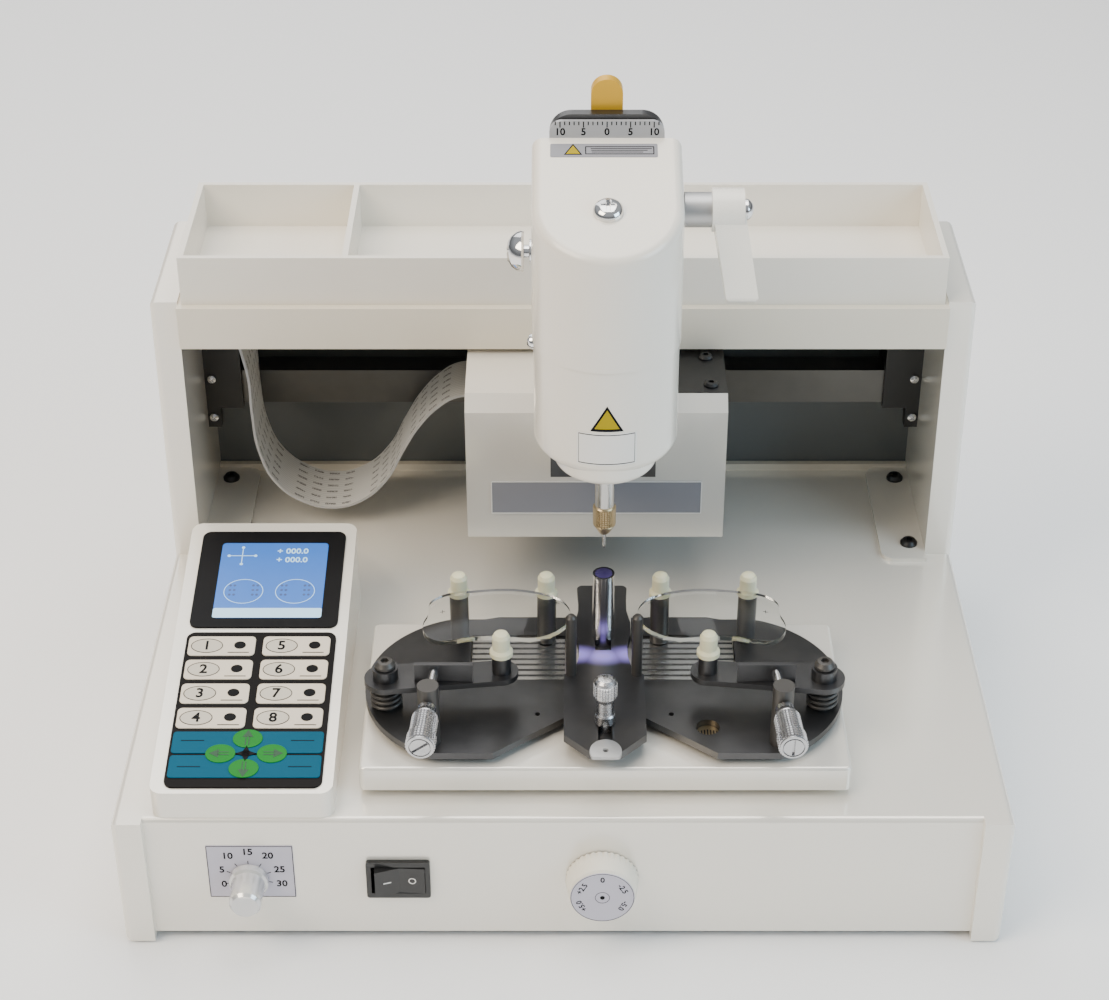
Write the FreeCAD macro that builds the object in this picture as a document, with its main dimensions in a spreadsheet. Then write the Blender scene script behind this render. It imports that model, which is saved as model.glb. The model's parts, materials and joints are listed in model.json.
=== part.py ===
import FreeCAD, Part
import math
import os

import Sketcher

# Bench-top lens drilling machine for rimless spectacle lenses.
# Row frame: +Z up, +Y away from the operator, +X to the operator's right.
# The origin is under the middle of the machine, on the surface that the feet rest on.

doc = FreeCAD.newDocument("LensDrillingMachine")
sheet = doc.addObject("Spreadsheet::Sheet", "Sizes")

# Driving dimensions in millimetres: name, value, meaning.
SIZES = [
    ("body_width", 292, "outside width over the side panels"),
    ("body_depth", 218, "side panels, front to back"),
    ("base_height", 52, "bench to the top of the deck"),
    ("side_thick", 10, "side panel thickness"),
    ("foot_lift", 0.8, "side panel bottoms above the bench"),
    ("foot_height", 3, "rubber foot height"),
    ("foot_radius", 9, "rubber foot radius"),
    ("edge_round", 2.5, "rounded edges of the side panels"),
    ("column_setback", 152, "front of the columns behind the side panels' front"),
    ("column_rise", 106, "top of the columns above the deck"),
    ("sheet_thick", 2, "folded sheet thickness"),
    ("panel_recess", 2.5, "front panel behind the side panels' front"),
    ("rear_recess", 3, "rear wall ahead of the side panels' back"),
    ("beam_rise", 88.8, "underside of the beam above the deck"),
    ("beam_height", 16.2, "height of the beam"),
    ("tray_height", 18.5, "height of the parts tray"),
    ("tray_wall", 2, "tray wall thickness"),
    ("tray_inset", 1.5, "tray end inside the side panel"),
    ("tray_divider", 76, "tray divider left of the middle"),
    ("drill_x", 13.7, "drill axis right of the middle"),
    ("drill_reach", 74.3, "drill axis behind the side panels' front"),
    ("knob_reach", 11, "knobs stand out ahead of the side panels"),
    ("table_width", 160, "lens table width"),
    ("table_depth", 79, "lens table depth"),
    ("table_thick", 9, "lens table thickness"),
    ("table_float", 3, "lens table above the deck"),
    ("table_front", 13.6, "lens table front behind the side panels' front"),
    ("table_travel", 10, "lens table travel each way"),
    ("wing_rise", 17, "wing plate top above the deck"),
    ("wing_thick", 2.5, "wing plate thickness"),
    ("wing_radius", 38.5, "round outer end of a wing plate"),
    ("centre_thick", 3, "centre plate thickness"),
    ("centre_half", 13.5, "centre plate half width"),
    ("peg_radius", 3.2, "rubber-capped peg radius"),
    ("peg_rise", 35.8, "peg top above the deck"),
    ("peg_inner", 19.4, "inner rear peg from the drill axis"),
    ("peg_outer", 49.1, "outer rear peg from the drill axis"),
    ("jaw_peg", 34, "jaw peg from the drill axis"),
    ("cap_height", 9.1, "rubber cap height over its peg"),
    ("cap_radius", 2.9, "rubber cap dome radius"),
    ("cap_flange", 3.8, "rubber cap flange radius"),
    ("pin_spacing", 22, "between the two locating pins"),
    ("pin_radius", 1.8, "locating pin radius"),
    ("pin_rise", 44.6, "locating pin top above the deck"),
    ("tube_radius", 3.7, "light tube outer radius"),
    ("tube_bore", 2.9, "light tube bore radius"),
    ("tube_rise", 46.5, "light tube top above the deck"),
    ("pivot_x", 72.1, "jaw pivot from the drill axis"),
    ("pivot_radius", 2.9, "jaw pivot post radius"),
    ("arm_rise", 27, "jaw arm underside above the deck"),
    ("arm_thick", 2, "jaw arm thickness"),
    ("adjuster_x", 57, "adjuster post from the drill axis"),
    ("adjuster_rise", 33.5, "adjuster axis above the deck"),
    ("adjuster_angle", 3.8, "adjuster splay in degrees"),
    ("adjuster_travel", 4, "adjuster withdrawal"),
    ("carriage_gap", 18, "carriage cover front behind the drill head"),
    ("carriage_width", 91, "carriage cover width"),
    ("carriage_low", 30, "carriage cover bottom above the deck"),
    ("carriage_top", 86.8, "carriage cover top above the deck"),
    ("carriage_wall", 1.5, "carriage cover wall"),
    ("carriage_travel", 34.5, "carriage travel each way"),
    ("rail_height", 14, "cross rail height"),
    ("rail_depth", 10, "cross rail depth"),
    ("screw_radius", 3, "lead screw radius"),
    ("head_radius", 23.5, "drill head front radius"),
    ("head_seam", 138, "seam between the head shells above the deck"),
    ("head_bottom", 99.8, "underside of the head above the deck"),
    ("nose_bottom", 96, "underside of the nose above the deck"),
    ("nose_radius", 16.5, "nose radius"),
    ("shell_wall", 2, "head shell wall"),
    ("head_travel", 15.5, "drill stroke"),
    ("spindle_radius", 3.25, "spindle sleeve radius"),
    ("nut_radius", 3.85, "collet nut radius"),
    ("bit_radius", 0.6, "drill bit radius"),
    ("lever_length", 28.7, "feed lever, hub to end"),
    ("dial_radius", 12, "dial knob radius"),
    ("dial_flutes", 36, "flutes round the dial knob"),
    ("pod_width", 59, "control pod width"),
    ("pod_depth", 125, "control pod depth"),
    ("pod_front", 10, "control pod height at the front"),
    ("pod_rear", 31, "control pod height at the rear"),
    ("rocker_length", 16.4, "power rocker length"),
    ("rocker_height", 10.6, "power rocker height"),
    ("run_fit", 0.05, "radial clearance of a turning or sliding fit"),
    ("gap", 0.4, "clearance between pieces that pass each other"),
]


class Size:
    """A length with its present value and the formula that ties it to the sheet."""

    def __init__(self, value, formula):
        self.value = value
        self.formula = formula

    @staticmethod
    def of(number):
        """Give a Size for a Size or a plain number."""
        if isinstance(number, Size):
            return number
        return Size(float(number), "(%.6g)" % number)

    def __add__(self, other):
        other = Size.of(other)
        return Size(self.value + other.value, "(%s + %s)" % (self.formula, other.formula))

    def __sub__(self, other):
        other = Size.of(other)
        return Size(self.value - other.value, "(%s - %s)" % (self.formula, other.formula))

    def __mul__(self, other):
        other = Size.of(other)
        return Size(self.value * other.value, "(%s * %s)" % (self.formula, other.formula))

    def __truediv__(self, other):
        other = Size.of(other)
        return Size(self.value / other.value, "(%s / %s)" % (self.formula, other.formula))

    def __neg__(self):
        return Size(-self.value, "(-1 * %s)" % self.formula)

    def __radd__(self, other):
        return Size.of(other) + self

    def __rsub__(self, other):
        return Size.of(other) - self

    def __rmul__(self, other):
        return Size.of(other) * self


class Sheet:
    """The named cells of the sheet, each one read as an attribute."""


S = Sheet()
for row, (name, number, meaning) in enumerate(SIZES, start=1):
    sheet.set("A%d" % row, name)
    sheet.set("B%d" % row, "%g" % number)
    sheet.set("C%d" % row, meaning)
    sheet.setAlias("B%d" % row, name)
doc.recompute()
for name, number, meaning in SIZES:
    setattr(S, name, Size(float(sheet.get(name)), "Sizes." + name))

NODES = {}
AXES = {"x": (0, 1, 0, 90), "y": (1, 0, 0, -90), "z": (0, 0, 1, 0)}


def value(number):
    """Give the plain number of a Size or a number."""
    return Size.of(number).value


def vector(x, y, z):
    """Make a vector from sizes or numbers."""
    return FreeCAD.Vector(value(x), value(y), value(z))


def bind(thing, field, size):
    """Tie one property of a document object to the sheet."""
    thing.setExpression(field, Size.of(size).formula)


def place(thing, x, y, z):
    """Tie an object's place to the sheet."""
    bind(thing, "Placement.Base.x", x)
    bind(thing, "Placement.Base.y", y)
    bind(thing, "Placement.Base.z", z)


def box(x, y, z):
    """A box between low and high sizes along each axis."""
    thing = doc.addObject("Part::Box", "Box")
    bind(thing, "Length", Size.of(x[1]) - x[0])
    bind(thing, "Width", Size.of(y[1]) - y[0])
    bind(thing, "Height", Size.of(z[1]) - z[0])
    place(thing, x[0], y[0], z[0])
    return thing


def lay(thing, axis, centre, start):
    """Turn a round primitive along an axis and put its first end at start."""
    turn = AXES[axis]
    thing.Placement = FreeCAD.Placement(
        FreeCAD.Vector(), FreeCAD.Rotation(FreeCAD.Vector(*turn[:3]), turn[3]))
    if axis == "x":
        place(thing, start, centre[0], centre[1])
    elif axis == "y":
        place(thing, centre[0], start, centre[1])
    else:
        place(thing, centre[0], centre[1], start)
    return thing


def rod(axis, centre, span, radius):
    """A cylinder along an axis, centred on the two other coordinates."""
    thing = doc.addObject("Part::Cylinder", "Rod")
    bind(thing, "Radius", radius)
    bind(thing, "Height", Size.of(span[1]) - span[0])
    return lay(thing, axis, centre, span[0])


def taper(axis, centre, span, radii):
    """A cone along an axis, from the first radius to the second."""
    thing = doc.addObject("Part::Cone", "Taper")
    bind(thing, "Radius1", radii[0])
    bind(thing, "Radius2", radii[1])
    bind(thing, "Height", Size.of(span[1]) - span[0])
    return lay(thing, axis, centre, span[0])


def join(*parts):
    """Fuse pieces into one solid."""
    thing = doc.addObject("Part::MultiFuse", "Join")
    thing.Shapes = list(parts)
    thing.Refine = True
    return thing


def cut(base, *tools):
    """Cut the tools out of the base."""
    thing = doc.addObject("Part::Cut", "Cut")
    thing.Base = base
    thing.Tool = tools[0] if len(tools) == 1 else join(*tools)
    return thing


def group(*parts):
    """Put separate solids in one sub-part."""
    thing = doc.addObject("Part::Compound", "Group")
    thing.Links = list(parts)
    return thing


def mirrored(part, x):
    """A mirror copy of a piece across the upright plane at x."""
    thing = doc.addObject("Part::Mirroring", "Mirror")
    thing.Source = part
    bind(thing, "Base.x", x)
    thing.Normal = FreeCAD.Vector(1, 0, 0)
    return thing


def rounded(part, radius, chosen):
    """Fillet the edges of a piece for which chosen(edge) holds."""
    doc.recompute()
    thing = doc.addObject("Part::Fillet", "Round")
    thing.Base = part
    size = value(radius)
    picks = [i for i, edge in enumerate(part.Shape.Edges, start=1) if chosen(edge)]
    thing.Edges = [(i, size, size) for i in picks]
    return thing


def is_along(edge, axis):
    """Tell whether a straight edge runs along an axis."""
    if not isinstance(edge.Curve, Part.Line):
        return False
    return abs(getattr(edge.Curve.Direction, axis)) > 0.999


def outline(body, role, points):
    """A fully constrained sketch of straight lines through the points, on an origin plane."""
    sketch = body.newObject("Sketcher::SketchObject", "Outline")
    plane = [f for f in body.Origin.OriginFeatures if f.Role == role][0]
    sketch.AttachmentSupport = [(plane, "")]
    sketch.MapMode = "FlatFace"
    count = len(points)
    for i in range(count):
        a = points[i]
        b = points[(i + 1) % count]
        sketch.addGeometry(Part.LineSegment(vector(a[0], a[1], 0), vector(b[0], b[1], 0)), False)
    for i in range(count):
        sketch.addConstraint(Sketcher.Constraint("Coincident", i, 2, (i + 1) % count, 1))
    for i, point in enumerate(points):
        for kind, size in (("DistanceX", point[0]), ("DistanceY", point[1])):
            size = Size.of(size)
            if size.formula == "(0)":
                axis = -2 if kind == "DistanceX" else -1
                sketch.addConstraint(Sketcher.Constraint("PointOnObject", i, 1, axis))
            else:
                k = sketch.addConstraint(Sketcher.Constraint(kind, -1, 1, i, 1, size.value))
                sketch.setExpression("Constraints[%d]" % k, size.formula)
    return sketch


PLANES = {"x": "YZ_Plane", "y": "XZ_Plane", "z": "XY_Plane"}


def prism(axis, points, span):
    """A body padded from a straight-sided outline, square to an axis, from span[0] to span[1]."""
    body = doc.addObject("PartDesign::Body", "Prism")
    sketch = outline(body, PLANES[axis], points)
    pad = body.newObject("PartDesign::Pad", "Pad")
    pad.Profile = (sketch, [""])
    bind(pad, "Length", Size.of(span[1]) - span[0])
    pad.Reversed = axis == "y"
    bind(body, "Placement.Base." + axis, span[0])
    return body


def turned(x, y, z, profile, axis="z"):
    """A body of revolution: profile points are (radius, height), the axis passes (x, y, z)."""
    body = doc.addObject("PartDesign::Body", "Turned")
    sketch = outline(body, "XZ_Plane", profile)
    turn = body.newObject("PartDesign::Revolution", "Turn")
    turn.Profile = (sketch, [""])
    turn.ReferenceAxis = (sketch, ["V_Axis"])
    turn.Angle = 360
    spin = AXES[axis]
    body.Placement = FreeCAD.Placement(
        FreeCAD.Vector(), FreeCAD.Rotation(FreeCAD.Vector(*spin[:3]), spin[3]))
    place(body, x, y, z)
    return body


def shape_feature(label, shape):
    """A sub-part whose shape is set directly from sizes read from the sheet."""
    thing = doc.addObject("Part::Feature", "Shape")
    thing.Shape = shape
    return node(label, thing)


def node(label, thing):
    """Name a finished sub-part."""
    thing.Label = label
    NODES[label] = thing
    return thing


# Shared planes and lines of the machine.
front = (S.knob_reach - S.body_depth) / 2
back = front + S.body_depth
deck = S.base_height
half_in = S.body_width / 2 - S.side_thick
half_out = S.body_width / 2
panel_front = front + S.panel_recess
panel_back = panel_front + S.sheet_thick
wall_back = back - S.rear_recess
wall_front = wall_back - S.sheet_thick
axis_x = S.drill_x
axis_y = front + S.drill_reach
beam_low = deck + S.beam_rise
beam_top = beam_low + S.beam_height
beam_front = front + S.column_setback


def make_side_panels():
    """Two chair-shaped side panels with rounded edges."""
    lean = 3
    low = S.foot_lift
    top = deck + S.column_rise
    profile = [(front, low), (back, low), (back, top), (beam_front + lean, top),
               (beam_front, deck), (front, deck)]
    left = prism("x", profile, (-half_out, -half_in))
    soft = rounded(left, S.edge_round, lambda edge: edge.CenterOfMass.x < -value(half_in) - 0.01
                   and not is_along(edge, "x"))
    node("side_panels", group(soft, mirrored(soft, 0)))


def make_base():
    """The base casing, its bottom cover and its rubber feet."""
    low = S.foot_height
    inner = half_in - S.sheet_thick
    cover_top = low + 1.5
    outer = box((-half_in, half_in), (panel_front, wall_front), (low, deck))
    soft = rounded(outer, 2, lambda edge: is_along(edge, "x") and edge.CenterOfMass.z > value(deck) - 0.1
                   and edge.CenterOfMass.y < 0)
    hollow = box((-inner, inner), (panel_back, wall_front + 1), (low - 1, deck - S.sheet_thick))
    slot_y = front + S.table_front + S.table_depth / 2
    slot_long = neck_long / 2 + S.table_travel + 1
    slot = box((axis_x - neck_half - 1.5, axis_x + neck_half + 1.5),
               (slot_y - slot_long, slot_y + slot_long), (deck - 5, deck + 1))
    rocker_hole = box((rocker_x - 9.2, rocker_x + 9.2), (panel_front - 1, panel_back + 1),
                      (rocker_z - 6.4, rocker_z + 6.4))
    shafts = [rod("y", (x, z), (panel_front - 1, panel_back + 1), knob_shaft + S.run_fit)
              for x, z in ((dial_x, knob_z), (depth_x, knob_z))]
    node("base_shell", cut(soft, hollow, slot, rocker_hole, *shafts))
    node("bottom_cover", box((-inner, inner), (panel_back, wall_front), (low, cover_top)))
    feet = [rod("z", (sx * (half_in - 22), y), (0, low), S.foot_radius)
            for sx in (-1, 1) for y in (front + 26, back - 28)]
    node("rubber_feet", group(*feet))


def make_rear_frame():
    """The rear wall and the beam, folded from one sheet."""
    low = S.foot_height
    inner = half_in
    wall = box((-inner, inner), (wall_front, wall_back), (low, beam_top))
    top = box((-inner, inner), (beam_front, wall_back), (beam_top - S.sheet_thick, beam_top))
    face = box((-inner, inner), (beam_front, beam_front + S.sheet_thick), (beam_low, beam_top))
    inlet = box((inlet_x - 13.5, inlet_x + 13.5), (wall_front - 1, wall_back + 1),
                (inlet_z - 9.5, inlet_z + 9.5))
    ledge = box((-inner, inner), (wall_front - ledge_deep, wall_front), (deck, deck + 3))
    node("rear_frame", cut(join(wall, top, face, ledge), inlet))


def make_tray():
    """The open parts tray on the beam, with one divider."""
    end = half_in - S.tray_inset
    near = beam_front + 3
    far = wall_back
    top = beam_top + S.tray_height
    wall = S.tray_wall
    floor = beam_top + 1.5
    outer = box((-end, end), (near, far), (beam_top, top))
    left = box((-end + wall, -S.tray_divider - wall / 2), (near + wall, far - wall), (floor, top + 1))
    right = box((-S.tray_divider + wall / 2, end - wall), (near + wall, far - wall), (floor, top + 1))
    node("parts_tray", cut(outer, left, right))


def make_cross_rail():
    """The cross rail and the table rail, the end brackets, the fixed lead screw and the feet."""
    rail_x = box((-rail_end, rail_end), rail_y, rail_z)
    table_rail = join(
        box(table_rail_x, table_rail_y, table_rail_z),
        box(table_rail_x, (table_rail_y[0], table_rail_y[0] + 8), (S.foot_height + 1.5, table_rail_z[0])),
        box(table_rail_x, (table_rail_y[1] - 8, table_rail_y[1]), (S.foot_height + 1.5, table_rail_z[0])))
    node("guide_rails", group(rail_x, table_rail))
    node("x_lead_screw", rod("x", (screw_y, screw_z), (-rail_end, rail_end), S.screw_radius))
    block = box((bracket_in, half_in), (rail_y[0] - 2, rail_y[1] + 5), (rail_z[0] - 1.5, screw_z + 7))
    tab = box((half_in - 5, half_in), (rail_y[0] - 2, rail_y[0] + 3), (rail_z[0] - 10, rail_z[0] - 1.5))
    sockets = [box((bracket_in - 1, rail_end), rail_y, rail_z),
               rod("x", (screw_y, screw_z), (bracket_in - 1, rail_end), S.screw_radius)]
    right = cut(join(block, tab), *sockets)
    node("rail_brackets", group(right, mirrored(right, 0)))
    flange = box((half_in - 16.5, half_in), (beam_front - 5, wall_front - ledge_deep), (deck, deck + 1.5))
    soft = rounded(flange, 5, lambda edge: is_along(edge, "z") and edge.CenterOfMass.x < value(half_in) - 1)
    node("foot_flanges", group(soft, mirrored(soft, 0)))


def button_screw(x, y, z, radius, height):
    """A button-head screw with a hexagon socket, its head's seat at z."""
    head = turned(x, y, z, [(0, 0), (radius, 0), (radius, height * 0.35),
                            (radius * 0.72, height * 0.86), (0, height)])
    doc.recompute()
    socket = doc.addObject("Part::Prism", "Socket")
    socket.Polygon = 6
    bind(socket, "Circumradius", radius * 0.42)
    bind(socket, "Height", height)
    place(socket, x, y, Size.of(z) + height * 0.4)
    return cut(head, socket)


def make_frame_screws():
    """Screws that hold the foot flanges and the rail brackets."""
    seat = deck + 1.5
    screws = [button_screw(sx * (half_in - 5.5), y, seat, 3.2, 2.2)
              for sx in (-1, 1) for y in (wall_front - 11, beam_front + 5)]
    node("frame_screws", group(*screws))


def make_pod():
    """The sloping control pod, its display window and its membrane keypad."""
    left = -half_in + 3
    right = left + S.pod_width
    near = front + 2
    far = near + S.pod_depth
    rise = (S.pod_rear - S.pod_front) / S.pod_depth

    def sloped(y, lift):
        """Height of the sloping face at y, raised by lift."""
        return deck + S.pod_front + (y - near) * rise + lift

    near_wall = near + 1.5
    profile = [(panel_front + 1, deck), (far, deck), (far, sloped(far, 0)), (near_wall, sloped(near_wall, 0))]
    solid = prism("x", profile, (left, right))
    soft = rounded(solid, 4, lambda edge: edge.Length < value(S.pod_rear) + 12
                   and not is_along(edge, "x") and abs(edge.tangentAt(0).z) > 0.9)
    inner = box((left + 2, right - 2), (near + 6, far - 2), (deck - 1, deck + S.pod_front - 3))
    node("pod_case", cut(soft, inner))
    thick = 0.7
    for label, y0, y1, x0, x1 in (("pod_display", far - 51.5, far - 5, left + 4.5, right - 3.5),
                                  ("keypad_film", near + 3.5, near + 71, left + 4.5, right - 3.5)):
        strip = prism("x", [(y0, sloped(y0, 0)), (y1, sloped(y1, 0)), (y1, sloped(y1, thick)),
                            (y0, sloped(y0, thick))], (x0, x1))
        node(label, rounded(strip, 3, lambda edge: edge.Length < thick * 1.2))


def make_front_controls():
    """The rocker switch, the depth knob and the fluted dial knob."""
    shelf = rocker_z - 6.2
    roof = rocker_z + 6.2
    bezel = join(box((rocker_x - 10.5, rocker_x + 10.5), (panel_front - 1.6, panel_front),
                     (rocker_z - 7.7, rocker_z + 7.7)),
                 box((rocker_x - 9.1, rocker_x + 9.1), (panel_front, panel_front + 17), (shelf, roof)))
    half = S.rocker_length / 2
    window = box((rocker_x - half - 0.7, rocker_x + half + 0.7), (panel_front - 3, panel_front + 8),
                 (rocker_z - S.rocker_height / 2 - S.gap, rocker_z + S.rocker_height / 2 + S.gap))
    node("switch_bezel", cut(rounded(bezel, 1, lambda edge: is_along(edge, "y")
                                     and edge.Length < 2), window))
    tilt = math.radians(rocker_tilt)
    near = panel_front - 3.1
    corners = [(-half, 0), (0, 1.5), (half, 0), (half * 0.97, 4.4), (1.5, 8), (-1.5, 8), (-half * 0.97, 4.4)]
    points = []
    for px, py in corners:
        px = Size.of(px)
        py = Size.of(py) - 5
        points.append((rocker_x + px * math.cos(tilt) - py * math.sin(tilt),
                       near + 5 + px * math.sin(tilt) + py * math.cos(tilt)))
    node("power_rocker", prism("z", points, (rocker_z - S.rocker_height / 2, rocker_z + S.rocker_height / 2)))

    face = panel_front - 0.4
    dial_face = front - 6.5
    depth_face = front - S.knob_reach
    body = turned(dial_x, panel_front + 6, knob_z, [
        (0, dial_face - panel_front - 6), (S.dial_radius - 2, dial_face - panel_front - 6),
        (S.dial_radius - 1, dial_face - panel_front - 5), (S.dial_radius, face - panel_front - 6),
        (knob_shaft, face - panel_front - 6), (knob_shaft, 0), (0, 0)], axis="y")
    flute_sketch = body.newObject("Sketcher::SketchObject", "FluteOutline")
    flute_sketch.AttachmentSupport = [([f for f in body.Origin.OriginFeatures if f.Role == "XY_Plane"][0], "")]
    flute_sketch.MapMode = "FlatFace"
    flute_sketch.addGeometry(Part.Circle(vector(S.dial_radius + 0.35, 0, 0), FreeCAD.Vector(0, 0, 1), 0.75), False)
    k = flute_sketch.addConstraint(Sketcher.Constraint("DistanceX", -1, 1, 0, 3, value(S.dial_radius) + 0.35))
    flute_sketch.setExpression("Constraints[%d]" % k, (S.dial_radius + 0.35).formula)
    flute_sketch.addConstraint(Sketcher.Constraint("PointOnObject", 0, 3, -1))
    flute_sketch.addConstraint(Sketcher.Constraint("Radius", 0, 0.75))
    flute = body.newObject("PartDesign::Pocket", "Flute")
    flute.Profile = (flute_sketch, [""])
    flute.Type = "ThroughAll"
    flute.Midplane = True
    ring = body.newObject("PartDesign::PolarPattern", "Flutes")
    ring.Originals = [flute]
    ring.Axis = (body.Origin.OriginFeatures[2], [""])
    ring.Angle = 360
    ring.setExpression("Occurrences", "Sizes.dial_flutes")
    body.Tip = ring
    node("dial_knob", body)
    node("depth_knob", turned(depth_x, panel_front + 6, knob_z, [
        (0, depth_face - panel_front - 6), (4.4, depth_face - panel_front - 6),
        (5.2, depth_face - panel_front - 5), (5.6, face - panel_front - 9), (6.4, face - panel_front - 8.4),
        (6.4, face - panel_front - 6), (knob_shaft, face - panel_front - 6), (knob_shaft, 0), (0, 0)],
        axis="y"))


def make_base_works():
    """What the base holds: the table motor and its screw, the control board and the mains inlet."""
    size = 17.5
    face = table_rail_y[1] - 2
    motor = box((table_screw_x - size, table_screw_x + size), (face, face + 34),
                (table_screw_z - size, table_screw_z + size))
    foot = box((table_screw_x - 10, table_screw_x + 10), (face + 4, face + 30),
               (S.foot_height + 1.5, table_screw_z - size))
    bore = rod("y", (table_screw_x, table_screw_z), (face - 1, face + 12), S.screw_radius + S.run_fit)
    node("y_motor", cut(join(motor, foot), bore))
    node("y_lead_screw", rod("y", (table_screw_x, table_screw_z), (front + 16, face + 11), S.screw_radius))
    board_y = (front + 60, front + 150)
    board_low = S.foot_height + 1.5
    studs = [rod("z", (x, y), (board_low, board_low + 5), 2.5)
             for x in (board_x[0] + 5, board_x[1] - 5) for y in (board_y[0] + 5, board_y[1] - 5)]
    chips = [box((board_x[0] + 15, board_x[0] + 35), (board_y[0] + 20, board_y[0] + 40),
                 (board_low + 6.6, board_low + 9.6)),
             rod("z", (board_x[1] - 20, board_y[1] - 22), (board_low + 6.6, board_low + 21), 8)]
    board = box(board_x, board_y, (board_low + 5, board_low + 6.6))
    node("control_board", join(board, *studs, *chips))
    socket = join(box((inlet_x - 15, inlet_x + 15), (wall_back, wall_back + 2.2), (inlet_z - 11, inlet_z + 11)),
                  box((inlet_x - 13.4, inlet_x + 13.4), (wall_back - 20, wall_back), (inlet_z - 9.4, inlet_z + 9.4)))
    mouth = box((inlet_x - 11.4, inlet_x + 11.4), (wall_back - 15, wall_back + 3), (inlet_z - 7.6, inlet_z + 7.6))
    blades = [box((inlet_x + x - 0.8, inlet_x + x + 0.8), (wall_back - 16, wall_back - 4),
                  (inlet_z - 2 + lift, inlet_z + 2 + lift)) for x, lift in ((-5.5, -1), (0, 1), (5.5, -1))]
    node("power_inlet", join(cut(socket, mouth), *blades))


def make_carriage():
    """The cross carriage: its block, its cover, its screws and the motor that turns on the fixed screw."""
    left = carriage_mid - S.carriage_width / 2
    right = carriage_mid + S.carriage_width / 2
    near = near_cover
    far = rail_y[1] + 5
    low = deck + S.carriage_low
    top = deck + S.carriage_top
    wall = S.carriage_wall
    lip = top + 0.3
    black_x = right - 17.5
    bevel = 5
    profile = [(near, low), (far, low), (far, top), (near + bevel, top), (near, top - bevel)]
    hollow = [(near + wall, low - 1), (far + 1, low - 1), (far + 1, top - wall),
              (near + bevel + 0.6, top - wall), (near + wall, top - bevel - 0.6)]
    shell = cut(prism("x", profile, (left, right)), prism("x", hollow, (left + wall, right - wall)),
                box((black_x, right + 1), (near + bevel, far + 1), (top - 3, top + 1)),
                box((axis_x - 13, axis_x + 13), (near - 1, near + 8), (top - 29, top + 1)),
                box((left - 1, left + wall + 1), (ribbon_y[0] - 1, ribbon_y[1] + 1),
                    (ribbon_in_z - 3, ribbon_in_z + 3)))
    openings = [box((x[0], x[1]), (rail_y[0] - 2, far + 1), (rail_z[0] - 2, screw_z + 5))
                for x in ((left - 1, left + wall + 1), (right - wall - 1, right + 1))]
    node("carriage_cover", cut(shell, *openings))

    riser_y = (near + wall, near + wall + 6)
    block_low = low + 4
    roof = (top - wall - 3.6, top - wall)
    slab = box((left + 8, right - 6), (rail_y[0] - 5, far), (block_low, rail_z[1] + 2))
    top_plate = box((left + 8, right - wall), (near + bevel + 1, far), roof)
    cheek = box((left + 40, left + 52), (rail_y[0] - 5, far), (rail_z[1] + 2, roof[0]))
    riser = box((axis_x - 12, axis_x + 12), riser_y, (block_low, deck + 152))
    rail = box((axis_x - head_rail_half, axis_x + head_rail_half), (head_rail_front, riser_y[0]),
               (deck + 70, deck + 150))
    ramp = box((black_x + 0.1, right), (near + bevel + 0.1, far), (top - 2.9, lip))
    tunnel = box((left - 5, right + 5), (rail_y[0] - S.run_fit * 2, rail_y[1] + S.run_fit * 2),
                 (rail_z[0] - S.run_fit * 2, rail_z[1] + S.run_fit * 2))
    screw_way = rod("x", (screw_y, screw_z), (left - 5, right + 5), S.screw_radius + 1)
    node("carriage_block", cut(join(slab, top_plate, cheek, riser, rail, ramp), tunnel, screw_way))
    screws = [button_screw(black_x + x, near + y, lip, 2.6, 1.5) for x, y in ((12, 10), (11, 29))]
    node("carriage_screws", group(*screws))

    square = 10
    motor_x = (left + 10, left + 39.5)
    housing = box(motor_x, (screw_y - square, screw_y + square), (rail_z[1] + 2, roof[0]))
    hub_way = rod("x", (screw_y, screw_z), (motor_x[0] + 4, motor_x[1] + 1), rotor_radius + 0.15)
    entry = rod("x", (screw_y, screw_z), (motor_x[0] - 1, motor_x[1] + 1), S.screw_radius + 0.5)
    node("x_motor", cut(housing, hub_way, entry))
    rotor = rod("x", (screw_y, screw_z), (motor_x[0] + 4.3, motor_x[1] - 0.3), rotor_radius)
    bore = rod("x", (screw_y, screw_z), (motor_x[0], motor_x[1] + 1), S.screw_radius + S.run_fit)
    node("x_rotor_nut", cut(rotor, bore))


# The ribbon's path. The drop is measured inwards from the left side panel, and the loop from the middle of the
# machine; both give heights above the deck. The lead is measured from the carriage cover's left end.
RIBBON_DROP = [(17.5, 0), (17.6, 84), (20.4, 66), (20.7, 50), (22.2, 34), (27.5, 20.4)]
RIBBON_LOOP = [(-98.6, 11.8), (-87.5, 9), (-76.3, 12.4), (-66.6, 21.8), (-59.8, 34.8), (-53.6, 45.4), (-46.4, 53.6)]
RIBBON_LEAD = [(-5.5, -0.6), (3, 0)]


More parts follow.
